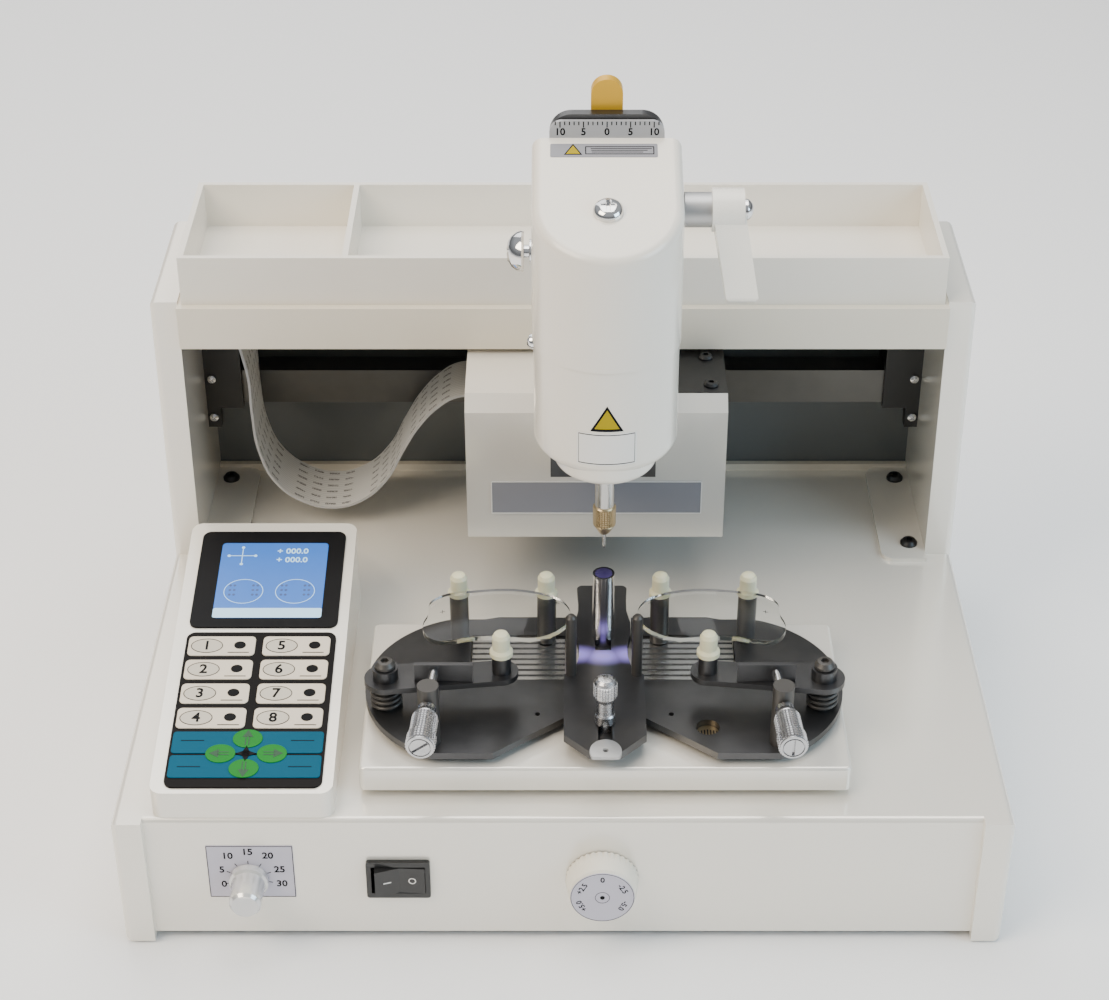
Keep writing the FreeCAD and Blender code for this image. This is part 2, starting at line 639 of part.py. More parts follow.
def make_ribbon():
    """The flat ribbon cable that hangs between the beam and the carriage."""
    thick = 0.9
    y0 = value(ribbon_y[0])
    y1 = value(ribbon_y[1])
    points = [vector(x - half_in, y0, deck + z) for x, z in RIBBON_DROP]
    points[0].z = value(beam_top - S.sheet_thick)
    points += [vector(x, y0, deck + z) for x, z in RIBBON_LOOP]
    points += [vector(carriage_mid - S.carriage_width / 2 + x, y0, ribbon_in_z + z) for x, z in RIBBON_LEAD]
    curve = Part.BSplineCurve()
    curve.interpolate(points)
    first, last = curve.FirstParameter, curve.LastParameter
    steps = 40
    offset_points = []
    for i in range(steps + 1):
        at = first + (last - first) * i / steps
        along = curve.tangent(at)[0]
        side = FreeCAD.Vector(-along.z, 0, along.x)
        offset_points.append(curve.value(at) + side * thick)
    offset_points[0].z = points[0].z
    upper = Part.BSplineCurve()
    upper.interpolate(offset_points)
    wire = Part.Wire([curve.toShape(), Part.makeLine(points[-1], offset_points[-1]),
                      upper.toShape(), Part.makeLine(offset_points[0], points[0])])
    band = Part.Face(wire).extrude(FreeCAD.Vector(0, y1 - y0, 0))
    shape_feature("ribbon_cable", band)
    print("ribbon length %.1f mm, width %.1f mm" % (curve.length(), y1 - y0))


def head_profile(radius, low, high, rear, inset=0):
    """A block with a half-round front on the drill axis, straight sides and a flat rear."""
    return join(rod("z", (axis_x, axis_y), (low, high), radius),
                box((axis_x - radius, axis_x + radius), (axis_y, rear - inset), (low, high)))


def make_head():
    """The drill head: two shells, the spindle motor, the tilt scale and the head's screws."""
    seam = deck + S.head_seam
    low = deck + S.head_bottom
    nose = deck + S.nose_bottom
    wall = S.shell_wall
    lower_radius = S.head_radius - 0.4
    slope = 0.3187
    front_top = deck + 177
    top = deck + 200

    def lid(lift):
        """The wedge above the sloping top, lowered by lift."""
        y0 = axis_y - S.head_radius - 10
        y1 = head_rear + 10
        base = front_top - 10 * slope - lift
        high = base + (y1 - y0) * slope
        return prism("x", [(y0, base), (y1, high), (y1, high + 60), (y0, base + 60)],
                     (axis_x - S.head_radius - 5, axis_x + S.head_radius + 5))

    outer = cut(head_profile(S.head_radius, seam, top, head_rear), lid(0))
    rim = rounded(outer, 3.5, lambda edge: edge.CenterOfMass.z > value(front_top) - 8
                  and edge.CenterOfMass.y < value(head_rear) - 1 and not is_along(edge, "z"))
    inner = cut(head_profile(S.head_radius - wall, seam - 1, top, head_rear, wall), lid(wall * 1.1))
    shaft_way = rod("x", (lever_y, lever_z), (axis_x, axis_x + 40), lever_shaft + S.run_fit)
    lock_way = rod("x", (lock_y, lock_z), (axis_x - 40, axis_x), 2 + S.run_fit)
    node("head_upper_shell", cut(rim, inner, shaft_way, lock_way))

    skirt = head_profile(lower_radius, low, seam, head_rear)
    skirt = rounded(skirt, 4, lambda edge: edge.CenterOfMass.z < value(low) + 0.1
                    and edge.CenterOfMass.y < value(head_rear) - 1)
    snout = rod("z", (axis_x, axis_y - lower_radius + S.nose_radius + 0.4), (nose, low + 12), S.nose_radius)
    snout = rounded(snout, 2.5, lambda edge: edge.CenterOfMass.z < value(nose) + 0.1)
    cavity = head_profile(lower_radius - wall, low + wall, seam + 1, head_rear, wall)
    sleeve_way = rod("z", (axis_x, axis_y), (nose - 1, low + wall + 1), S.spindle_radius + S.run_fit)
    pivot_way = rod("y", (axis_x, pivot_z), (head_rear - wall - 1, head_rear + 1), tilt_pin + S.run_fit)
    node("head_lower_shell", cut(join(skirt, snout), cavity, sleeve_way, pivot_way))

    motor = rod("z", (axis_x, axis_y), (deck + 116, deck + 170), 15)
    flange = rod("z", (axis_x, axis_y), (deck + 114, deck + 116), 18)
    web = box((axis_x - 5, axis_x + 5), (axis_y, head_rear - wall), (deck + 126, deck + 134))
    well = rod("z", (axis_x, axis_y), (deck + 113, deck + 131), S.spindle_radius + S.run_fit)
    node("spindle_motor", cut(join(motor, flange, web), well))

    scale = box((axis_x - 18, axis_x + 18), (head_rear, head_rear + 1.4), (deck + 160, deck + 199))
    node("tilt_scale", rounded(scale, 4, lambda edge: is_along(edge, "y")
                               and edge.CenterOfMass.z > value(deck) + 180))

    side = axis_x - S.head_radius
    small = turned(side + 0.4, axis_y + 5.7, deck + 133,
                   [(0, 0), (2.6, 0), (2.4, -1.2), (1.4, -2), (0, -2.2)], axis="x")
    y = axis_y - 3.5
    z = front_top + (y - (axis_y - S.head_radius)) * slope
    pan = turned(axis_x, y, z, [(0, -5), (2, -5), (2, 0), (4.7, 0), (4.6, 0.9), (3.6, 2.2), (1.8, 2.8), (0, 2.9)])
    pan.Placement.Rotation = FreeCAD.Rotation(FreeCAD.Vector(1, 0, 0), math.degrees(math.atan(slope)))
    node("head_screws", group(small, pan))
    doc.recompute()
    shell = NODES["head_upper_shell"]
    node("head_upper_shell", cut(shell, pan))
    shell.Label = "upper_shell_blank"


def make_spindle():
    """The spindle sleeve, the collet nut and the drill bit, on the drill axis."""
    nut_low = deck + 63.3
    nut_top = deck + 74.6
    sleeve = rod("z", (axis_x, axis_y), (nut_top, deck + 130), S.spindle_radius)
    node("spindle_shaft", sleeve)
    node("collet_nut", cut(turned(axis_x, axis_y, nut_low, [
        (0, 0), (1.7, 0), (S.nut_radius - 0.3, 3.2), (S.nut_radius, 3.6), (S.nut_radius, nut_top - nut_low - 0.6),
        (S.nut_radius - 0.6, nut_top - nut_low), (0, nut_top - nut_low)]),
        rod("z", (axis_x, axis_y), (nut_low - 1, nut_top - 3), S.bit_radius)))
    node("drill_bit", join(rod("z", (axis_x, axis_y), (deck + 58, nut_top - 3), S.bit_radius),
                           taper("z", (axis_x, axis_y), (deck + 56.8, deck + 58), (0.05, S.bit_radius))))


def make_head_slider():
    """The dark slide plate behind the head, with its tilt pin, and the yellow pointer tab."""
    near = head_rear + 1.4 + S.gap
    plate_y = (near, near + 3.5)
    plate = box((axis_x - 18, axis_x + 18), plate_y, (deck + 66, deck + 200.5))
    soft = rounded(plate, 7, lambda edge: is_along(edge, "y") and edge.CenterOfMass.z > value(deck) + 180)
    jaw = box((axis_x - 12.5, axis_x + 12.5), (plate_y[1], near_cover - 2.5), (deck + 95, deck + 135))
    way = box((axis_x - head_rail_half - S.run_fit * 2, axis_x + head_rail_half + S.run_fit * 2),
              (head_rail_front - S.run_fit * 2, near_cover), (deck + 94, deck + 136))
    pin = rod("y", (axis_x, pivot_z), (head_rear - S.shell_wall + 0.3, near), tilt_pin)
    node("slide_plate", cut(join(soft, jaw, pin), way))
    tab = box((axis_x - 5, axis_x + 5), (plate_y[1], plate_y[1] + 4), (deck + 186, deck + 210.5))
    node("tilt_pointer", rounded(tab, 4.9, lambda edge: is_along(edge, "y")
                                 and edge.CenterOfMass.z > value(deck) + 200))


def make_lever():
    """The white feed lever, its shaft through the head and the chrome lock screw opposite."""
    start = axis_x + S.head_radius + S.gap
    hub_x = (start + 8.5, start + 18.5)
    shaft = join(rod("x", (lever_y, lever_z), (axis_x + 8, hub_x[0]), lever_shaft),
                 rod("x", (lever_y, lever_z), (start, hub_x[0]), lever_shaft + 3),
                 rod("x", (lever_y, lever_z), (axis_x + 8, axis_x + 14), lever_shaft + 2))
    node("feed_shaft", shaft)
    length = value(S.lever_length)
    y = value(lever_y)
    z = value(lever_z)
    x0 = value(hub_x[0])
    x1 = value(hub_x[1])
    along = FreeCAD.Vector(0, -0.55, -0.835)
    across = FreeCAD.Vector(0, 0.835, -0.55)
    half = 4.8
    spread = 4.5

    def section(distance, shift, thin):
        """One end of the lever's bar."""
        middle = FreeCAD.Vector(0, y, z) + along * distance
        ends = [(x0 + shift, -thin), (x1 + shift, -thin), (x1 + shift, thin), (x0 + shift, thin)]
        return Part.makePolygon([middle + FreeCAD.Vector(x, 0, 0) + across * t for x, t in ends + ends[:1]])

    bar = Part.makeLoft([section(0, 0, half), section(length, spread, 2.6)], True, True)
    hub = Part.makeCylinder(6.8, x1 - x0, FreeCAD.Vector(x0, y, z), FreeCAD.Vector(1, 0, 0))
    lever = hub.fuse(bar).removeSplitter()
    tips = [e for e in lever.Edges if e.BoundBox.ZMax < z - length * 0.6]
    lever = lever.makeFillet(1.2, tips)
    screw = Part.makeCylinder(3.2, 1.2, FreeCAD.Vector(x1, y, z), FreeCAD.Vector(1, 0, 0))
    dome = Part.makeSphere(4, FreeCAD.Vector(x1 - 1.2, y, z)).common(
        Part.makeBox(3, 12, 12, FreeCAD.Vector(x1 + 1.2, y - 6, z - 6)))
    shape_feature("feed_lever", Part.makeCompound([lever, screw.fuse(dome).removeSplitter()]))
    side = axis_x - S.head_radius
    node("lock_screw", turned(side, lock_y, lock_z, [
        (0, 6), (2, 6), (2, -2.4), (6.3, -2.4), (6.5, -3.4), (5.2, -6), (2.6, -7.6), (0, -8)], axis="x"))


def arc_prism(points, arcs, low, high):
    """A plate from straight corners and arcs given by a through point, between two heights."""
    edges = []
    count = len(points)
    for i in range(count):
        a = FreeCAD.Vector(points[i][0], points[i][1], low)
        b = FreeCAD.Vector(points[(i + 1) % count][0], points[(i + 1) % count][1], low)
        if i in arcs:
            middle = FreeCAD.Vector(arcs[i][0], arcs[i][1], low)
            edges.append(Part.Arc(a, middle, b).toShape())
        else:
            edges.append(Part.makeLine(a, b))
    return Part.Face(Part.Wire(edges)).extrude(FreeCAD.Vector(0, 0, high - low))


def make_table():
    """The lens table: its plate, wing plates, ribbed beds, centre plate, posts, pegs and caps."""
    near = front + S.table_front
    low = deck + S.table_float
    top = low + S.table_thick
    half = S.table_width / 2
    middle = near + S.table_depth / 2
    plate = box((axis_x - half, axis_x + half), (near, near + S.table_depth), (low, top))
    soft = rounded(plate, 2, lambda edge: is_along(edge, "z"))
    node("table_plate", rounded(soft, 1.2, lambda edge: edge.CenterOfMass.z > value(top) - 0.1))

    neck = box((axis_x - neck_half, axis_x + neck_half),
               (middle - neck_long / 2, middle + neck_long / 2), (deck - 6, low))
    block = box((axis_x - 21, axis_x + 21), (middle - 16, middle + 16), (table_rail_z[0] - 3, deck - 6))
    rail_way = box((table_rail_x[0] - S.run_fit * 2, table_rail_x[1] + S.run_fit * 2),
                   (middle - 20, middle + 20), (table_rail_z[0] - 4, table_rail_z[1] + S.run_fit * 2))
    screw_way = rod("y", (table_screw_x, table_screw_z), (middle - 20, middle + 20),
                    S.screw_radius + S.run_fit)
    node("table_slider", cut(join(neck, block), rail_way, screw_way))

    wing_top = value(deck + S.wing_rise)
    wing_low = value(deck + S.wing_rise - S.wing_thick)
    plate_top = value(top)
    x = value(axis_x)
    y = value(front)
    radius = value(S.wing_radius)
    cx = x - 41.5
    cy = y + 50.8
    near_y = y + 15.5
    far_y = y + 87.7
    near_x = cx - math.sqrt(radius ** 2 - (cy - near_y) ** 2)
    far_x = cx - math.sqrt(radius ** 2 - (far_y - cy) ** 2)
    wing_points = [(x - 36.4, near_y), (x - 10, y + 36.2), (x - 10, y + 54), (x - 45, y + 54),
                   (x - 45, y + 78.5), (x - 10, y + 78.5), (x - 10, y + 89), (x - 36, y + 89),
                   (x - 41, far_y), (far_x, far_y), (near_x, near_y)]
    wing = arc_prism(wing_points, {9: (cx - radius, cy)}, wing_low, wing_top)
    shoe = Part.makeBox(22, 43, wing_low - plate_top, FreeCAD.Vector(x - 70, y + 29, plate_top))
    wing = wing.fuse(shoe).removeSplitter()
    hole = Part.makeCylinder(0.9, 10, FreeCAD.Vector(x - 22.1, y + 35.5, plate_top - 1))
    wing = wing.cut(hole)
    mirror_at = FreeCAD.Vector(x, 0, 0)
    across = FreeCAD.Vector(1, 0, 0)
    window = Part.makeCylinder(3.9, 10, FreeCAD.Vector(x + 33.8, y + 28.7, plate_top - 1))
    right_wing = wing.mirror(mirror_at, across).cut(window)
    shape_feature("wing_plates", Part.makeCompound([wing, right_wing]))

    ribs = 8
    bed_y = (front + 54.3, front + 78.2)
    pitch = (bed_y[1] - bed_y[0]) / ribs
    crest = deck + S.wing_rise - 0.4
    comb = [(bed_y[0], top)]
    for i in range(ribs):
        y0 = bed_y[0] + pitch * i
        comb += [(y0, crest), (y0 + pitch * 0.62, crest), (y0 + pitch * 0.7, crest - 1.2),
                 (y0 + pitch * 0.92, crest - 1.2)]
    comb += [(bed_y[1], crest - 1.2), (bed_y[1], top)]
    bed = prism("x", comb, (axis_x - 44.7, axis_x - 13))
    node("ribbed_beds", group(bed, mirrored(bed, axis_x)))

    plate_low = wing_top
    plate_high = value(deck + S.wing_rise + S.centre_thick)
    half_c = value(S.centre_half)
    side = [(5.2, 12.6), (half_c, 21.3), (half_c, 52.8), (9.6, 56.2), (8.2, 63), (8.2, 69), (9.6, 76),
            (9.6, 82), (8.4, 89), (8.4, 97), (8.8, 102.6), (7.6, 104)]
    outline_points = [(x + a, y + b) for a, b in side] + [(x - a, y + b) for a, b in reversed(side)]
    centre = arc_prism(outline_points, {}, plate_low, plate_high)
    upright = [e for e in centre.Edges if abs(e.tangentAt(0).z) > 0.9 and e.CenterOfMass.y > y + 54]
    centre = centre.makeFillet(1.5, upright)
    foot = Part.makeBox(14, 69, plate_low - plate_top, FreeCAD.Vector(x - 7, y + 21, plate_top))
    tube_seat = Part.makeCylinder(value(S.tube_radius), 30, FreeCAD.Vector(x, value(axis_y), plate_top))
    tube_slot = Part.makeBox(5.6, 6, 2.2, FreeCAD.Vector(x - 2.8, value(axis_y) - 8, plate_high - 2.2))
    knob_slot = Part.makeBox(4.8, 15, 3.2, FreeCAD.Vector(x - 2.4, y + 18.5, plate_high - 3.2))
    clamp_way = Part.makeCylinder(2 + value(S.run_fit), 20, FreeCAD.Vector(x, value(clamp_y), plate_top))
    pins = [Part.makeCylinder(value(S.pin_radius), 20, FreeCAD.Vector(x + s * value(S.pin_spacing) / 2,
                                                                     value(pin_y), plate_low))
            for s in (-1, 1)]
    centre = centre.fuse(foot).removeSplitter()
    for tool in [tube_seat, tube_slot, knob_slot, clamp_way] + pins:
        centre = centre.cut(tool)
    shape_feature("centre_plate", centre)

    tube = cut(rod("z", (axis_x, axis_y), (top, deck + S.tube_rise), S.tube_radius),
               rod("z", (axis_x, axis_y), (top + 5, deck + S.tube_rise + 1), S.tube_bore))
    node("light_tube", tube)

    posts = [turned(axis_x + s * S.pin_spacing / 2, pin_y, deck + S.wing_rise, [
        (0, 0), (S.pin_radius, 0), (S.pin_radius, S.pin_rise - S.wing_rise - 1.2),
        (S.pin_radius * 0.6, S.pin_rise - S.wing_rise - 0.3), (0, S.pin_rise - S.wing_rise)])
        for s in (-1, 1)]
    posts += [rod("z", (axis_x + s * d, peg_y), (deck + S.wing_rise, deck + S.peg_rise), S.peg_radius)
              for s in (-1, 1) for d in (S.peg_inner, S.peg_outer)]
    head_low = arm_top + 4.2 + S.gap
    for s in (-1, 1):
        posts.append(join(rod("z", (axis_x + s * S.pivot_x, pivot_y), (deck + S.wing_rise, head_low),
                              S.pivot_radius),
                          button_screw(axis_x + s * S.pivot_x, pivot_y, head_low, 3.4, 2.4)))
        upright = rod("z", (axis_x + s * S.adjuster_x, adjuster_y), (deck + S.wing_rise, deck + 40), 3.5)
        way = rod("y", (0, 0), (-10, 10), 1.5 + S.run_fit)
        turn = FreeCAD.Rotation(FreeCAD.Vector(0, 0, 1), s * value(S.adjuster_angle))
        way.Placement.Rotation = turn.multiply(FreeCAD.Rotation(FreeCAD.Vector(1, 0, 0), -90))
        splay = math.radians(value(S.adjuster_angle))
        place(way, axis_x + s * (S.adjuster_x + 10 * math.sin(splay)), adjuster_y - 10 * math.cos(splay),
              deck + S.adjuster_rise)
        posts.append(cut(upright, way))
    node("table_posts", group(*posts))

    caps = [turned(axis_x + s * d, peg_y, deck + S.peg_rise, cap_profile())
            for s in (-1, 1) for d in (S.peg_inner, S.peg_outer)]
    node("peg_caps", group(*caps))

    node("clamp_knob", turned(axis_x, clamp_y, top, [
        (0, 0), (2, 0), (2, 8.4), (3.4, 8.4), (3.4, 12.2), (2.9, 12.8), (2.9, 18), (3.6, 19), (3.9, 22.6),
        (3.2, 25.2), (1.8, 26.4), (0, 26.7)]))


def cap_profile():
    """Radius and height of a flanged rubber cap above its peg's top."""
    tall = S.cap_height
    return [(0, 0), (S.cap_flange, 0), (S.cap_flange, 1.5), (S.cap_radius, 2.6), (S.cap_radius, tall - 2),
            (S.cap_radius * 0.75, tall - 0.7), (0, tall)]


def make_springs():
    """The coil spring round each jaw pivot."""
    wire = 0.65
    coil = 4.6
    tall = value(S.arm_rise - S.wing_rise) - 2 * wire - 0.2
    turns = 4
    springs = []
    for s in (-1, 1):
        centre = vector(axis_x + s * S.pivot_x, pivot_y, deck + S.wing_rise + wire + 0.1)
        helix = Part.makeHelix(tall / turns, tall, coil)
        ring = Part.Wire(Part.makeCircle(wire, FreeCAD.Vector(coil, 0, 0), FreeCAD.Vector(0, 1, 0)))
        spring = Part.Wire(helix.Edges).makePipeShell([ring], True, True)
        spring.translate(centre)
        springs.append(spring)
    shape_feature("springs", Part.makeCompound(springs))


def make_jaws():
    """Each jaw arm swings on its pivot and carries a capped peg; its adjuster pushes its tab."""
    x = value(axis_x)
    y = value(front)
    low = value(deck + S.arm_rise)
    top = value(arm_top)
    px = value(S.pivot_x)
    py = value(pivot_y)
    gx = value(S.jaw_peg)
    gy = y + 43.5
    arm = arc_prism([(x - px, py - 7), (x - gx, gy - 5.6), (x - gx, gy + 5.6), (x - 44, y + 48), (x - px, py + 7)],
                    {1: (x - gx + 5.6, gy), 4: (x - px - 7, py)}, low, top)
    tab = Part.makeBox(19, 1.6, 9, FreeCAD.Vector(x - 62.4, value(tab_y), low))
    sleeve = Part.makeCylinder(4.2, 4.2, FreeCAD.Vector(x - px, py, top))
    peg = Part.makeCylinder(value(S.peg_radius), value(deck + S.peg_rise) - top, FreeCAD.Vector(x - gx, gy, top))
    arm = arm.fuse([tab, sleeve, peg]).removeSplitter()
    bore = Part.makeCylinder(value(S.pivot_radius + S.run_fit), 40, FreeCAD.Vector(x - px, py, low - 10))
    arm = arm.cut(bore)
    mirror_at = FreeCAD.Vector(x, 0, 0)
    across = FreeCAD.Vector(1, 0, 0)
    shape_feature("left_jaw", arm)
    shape_feature("right_jaw", arm.mirror(mirror_at, across))
    for s, name in ((-1, "left_jaw_cap"), (1, "right_jaw_cap")):
        node(name, turned(axis_x + s * S.jaw_peg, front + 43.5, deck + S.peg_rise, cap_profile()))

    angle = value(S.adjuster_angle)
    for s, name in ((-1, "left"), (1, "right")):
        turn = FreeCAD.Rotation(FreeCAD.Vector(0, 0, 1), s * angle)
        splay = math.radians(angle)
        tip_y = tab_y - 0.06
        run = tip_y - adjuster_y
        tip_x = axis_x + s * S.adjuster_x - s * run * math.tan(splay)
        spindle = turned(0, 0, 0, [(0, -27), (1.5, -27), (1.5, -0.8), (0.7, 0), (0, 0)], axis="y")
        thimble = cut(turned(0, 0, 0, [
            (0, -39), (4.4, -39), (4.75, -38.4), (4.75, -33.5), (4.1, -33), (4.1, -24), (3.1, -21.5),
            (3.1, -19.6), (0, -19.6)], axis="y"),
            rod("y", (0, 0), (-27.2, -19), 1.5 + S.run_fit))
        for label, thing in ((name + "_spindle", spindle), (name + "_thimble", thimble)):
            base = turn if "thimble" in label else turn.multiply(thing.Placement.Rotation)
            thing.Placement = FreeCAD.Placement(FreeCAD.Vector(), base)
            place(thing, tip_x, tip_y, deck + S.adjuster_rise)
            node(label, thing)


def make_lenses():
    """A pair of clear demonstration lenses held between the caps."""
    x = value(axis_x)
    y = value(front)
    z = value(deck + S.peg_rise) + 4
    thick = 1.8
    curve_radius = 95
    near = value(pivot_y) + 6.7
    far = value(peg_y - S.cap_radius) - 0.6
    inner = value(S.pin_spacing) / 2 + value(S.pin_radius) + 0.3
    mid = near + (far - near) / 2
    points = [(-59.4, mid), (-58.9, near + 4), (-56, near + 0.9), (-46, near), (-34, near), (-22, near + 0.5),
              (-inner - 1.2, near + 6.6), (-11.2, near + 16), (-14.5, far - 3.4), (-22, far - 0.5), (-34, far + 0.3),
              (-46, far - 0.2), (-55.5, far - 1.3), (-58.6, far - 4.5)]
    curve = Part.BSplineCurve()
    curve.interpolate([FreeCAD.Vector(x + a, b, z - 12) for a, b in points], PeriodicFlag=True)
    blank = Part.Face(Part.Wire(curve.toShape())).extrude(FreeCAD.Vector(0, 0, 20))
    centre = FreeCAD.Vector(x - 35, mid, z - curve_radius)
    dome = Part.makeSphere(curve_radius + thick, centre).cut(Part.makeSphere(curve_radius, centre))
    lens = blank.common(dome)
    right = lens.mirror(FreeCAD.Vector(x, y, 0), FreeCAD.Vector(1, 0, 0))
    shape_feature("demo_lenses", Part.makeCompound([lens, right]))


# Places shared by more than one sub-part.
neck_half = 12
neck_long = 28
knob_shaft = 3
knob_z = deck - 25.3
dial_x = Size.of(12.8)
depth_x = Size.of(-103)
rocker_x = Size.of(-54)
rocker_z = deck - 24.9
rocker_tilt = 7
inlet_x = Size.of(84)
inlet_z = deck - 26
board_x = (Size.of(-110), Size.of(-25))
rail_end = half_in - 6
bracket_in = half_in - 14
rail_y = (wall_front - 16.5, wall_front - 16.5 + S.rail_depth)
rail_z = (deck + 40, deck + 40 + S.rail_height)
screw_y = rail_y[0] + S.rail_depth / 2
screw_z = rail_z[1] + 12.5
rotor_radius = 7
ledge_deep = 3
table_rail_x = (axis_x - 18, axis_x - 8)
table_rail_y = (front + 10, front + 98)
table_rail_z = (deck - 32, deck - 22)
table_screw_x = axis_x + 10
table_screw_z = deck - 25
carriage_mid = axis_x - 2.2
head_rear = axis_y + S.head_radius + 4.2
near_cover = head_rear + S.carriage_gap
ribbon_y = (front + 170, front + 195)
ribbon_in_z = deck + 58.6
head_rail_half = 7
head_rail_front = near_cover - 8.8
pivot_z = deck + 117
tilt_pin = 4
lever_y = axis_y + 11.7
lever_z = deck + 176.5
lever_shaft = 2.5
lock_y = axis_y + 9.7
lock_z = deck + 163
peg_y = front + 76.6
pin_y = front + 53.4
pivot_y = front + 40
adjuster_y = front + 21.5
arm_top = deck + S.arm_rise + S.arm_thick
tab_y = front + 37.2
clamp_y = front + 27.5

make_side_panels()
make_base()
make_rear_frame()
make_tray()
make_cross_rail()
make_frame_screws()
make_pod()
make_front_controls()
make_base_works()
make_carriage()
make_ribbon()
make_head()
make_spindle()
make_head_slider()
make_lever()
make_table()
make_springs()
make_jaws()
make_lenses()
doc.recompute()

for thing in doc.Objects:
    if "Invalid" in thing.State or "Error" in thing.State:
        raise RuntimeError("%s (%s) failed: %s" % (thing.Name, thing.Label, thing.State))
for label, thing in NODES.items():
    if thing.Shape.isNull() or not thing.Shape.isValid():
        raise RuntimeError("%s has no valid shape" % label)
    if not thing.Shape.Solids:
        raise RuntimeError("%s holds no solid" % label)

os.makedirs("parts", exist_ok=True)
for label, thing in NODES.items():
    thing.Shape.exportStep("parts/%s.step" % label)
print("%d sub-parts written" % len(NODES))
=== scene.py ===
"""Looks of a bench-top lens drilling machine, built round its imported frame.

Classes hold their sizes in millimetres, in the frame of the machine: +X to the operator's right,
+Y away from the operator, +Z up, with the origin on the bench under the middle of the machine.
"""

import json
import logging
import math
from contextlib import contextmanager
from dataclasses import dataclass, field
from enum import Enum
from typing import Callable, Iterator, Optional, Sequence

import bpy
from mathutils import Matrix, Vector

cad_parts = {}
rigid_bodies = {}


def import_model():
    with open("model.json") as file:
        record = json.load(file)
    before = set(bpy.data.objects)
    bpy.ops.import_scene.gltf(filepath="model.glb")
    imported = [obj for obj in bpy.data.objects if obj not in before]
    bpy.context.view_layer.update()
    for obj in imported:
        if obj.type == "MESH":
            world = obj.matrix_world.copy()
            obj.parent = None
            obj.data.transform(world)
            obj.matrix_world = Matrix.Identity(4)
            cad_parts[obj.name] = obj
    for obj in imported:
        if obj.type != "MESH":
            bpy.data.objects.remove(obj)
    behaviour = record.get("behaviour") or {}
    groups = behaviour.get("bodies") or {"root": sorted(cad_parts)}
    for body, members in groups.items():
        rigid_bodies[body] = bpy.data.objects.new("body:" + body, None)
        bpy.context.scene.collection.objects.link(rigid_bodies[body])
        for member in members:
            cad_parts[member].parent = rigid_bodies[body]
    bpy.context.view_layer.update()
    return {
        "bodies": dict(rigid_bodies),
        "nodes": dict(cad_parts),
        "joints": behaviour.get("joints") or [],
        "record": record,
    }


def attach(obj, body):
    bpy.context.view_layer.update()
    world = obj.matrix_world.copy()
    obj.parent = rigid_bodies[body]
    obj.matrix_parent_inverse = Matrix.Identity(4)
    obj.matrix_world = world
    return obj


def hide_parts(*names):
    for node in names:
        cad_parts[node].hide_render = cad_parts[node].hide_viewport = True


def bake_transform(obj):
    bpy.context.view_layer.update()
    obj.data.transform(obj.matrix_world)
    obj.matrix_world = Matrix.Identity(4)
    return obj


MM = 0.001
CREASE = 40.0
KNURL_CREASE = 18
PRINT_THICK = 0.05
DUST = 1e-6
LOG = logging.getLogger("lens_drilling_machine")
Pair = tuple[float, float]
Triple = tuple[float, float, float]
Piece = bpy.types.Object


# ---------------------------------------------------------------- modelling by hand

@dataclass(frozen=True)
class Surface:
    """A flat place to build on: its origin, and the directions of its own width and height."""

    origin: Triple
    right: Triple = (1.0, 0.0, 0.0)
    up: Triple = (0.0, 0.0, 1.0)

    def matrix(self, u: float = 0.0, v: float = 0.0, lift: float = 0.0, turn: float = 0.0) -> Matrix:
        """Place of a point on the surface.

        Args:
            u: distance along the width.
            v: distance along the height.
            lift: distance above the surface.
            turn: anticlockwise turn on the surface, in degrees.

        Returns:
            A matrix in metres whose Z axis stands on the surface.
        """
        right = Vector(self.right).normalized()
        up = Vector(self.up).normalized()
        normal = right.cross(up)
        spot = Vector(self.origin) + right * u + up * v + normal * lift
        frame = Matrix((right, up, normal)).transposed().to_4x4()
        return Matrix.Translation(spot * MM) @ frame @ Matrix.Rotation(math.radians(turn), 4, "Z")


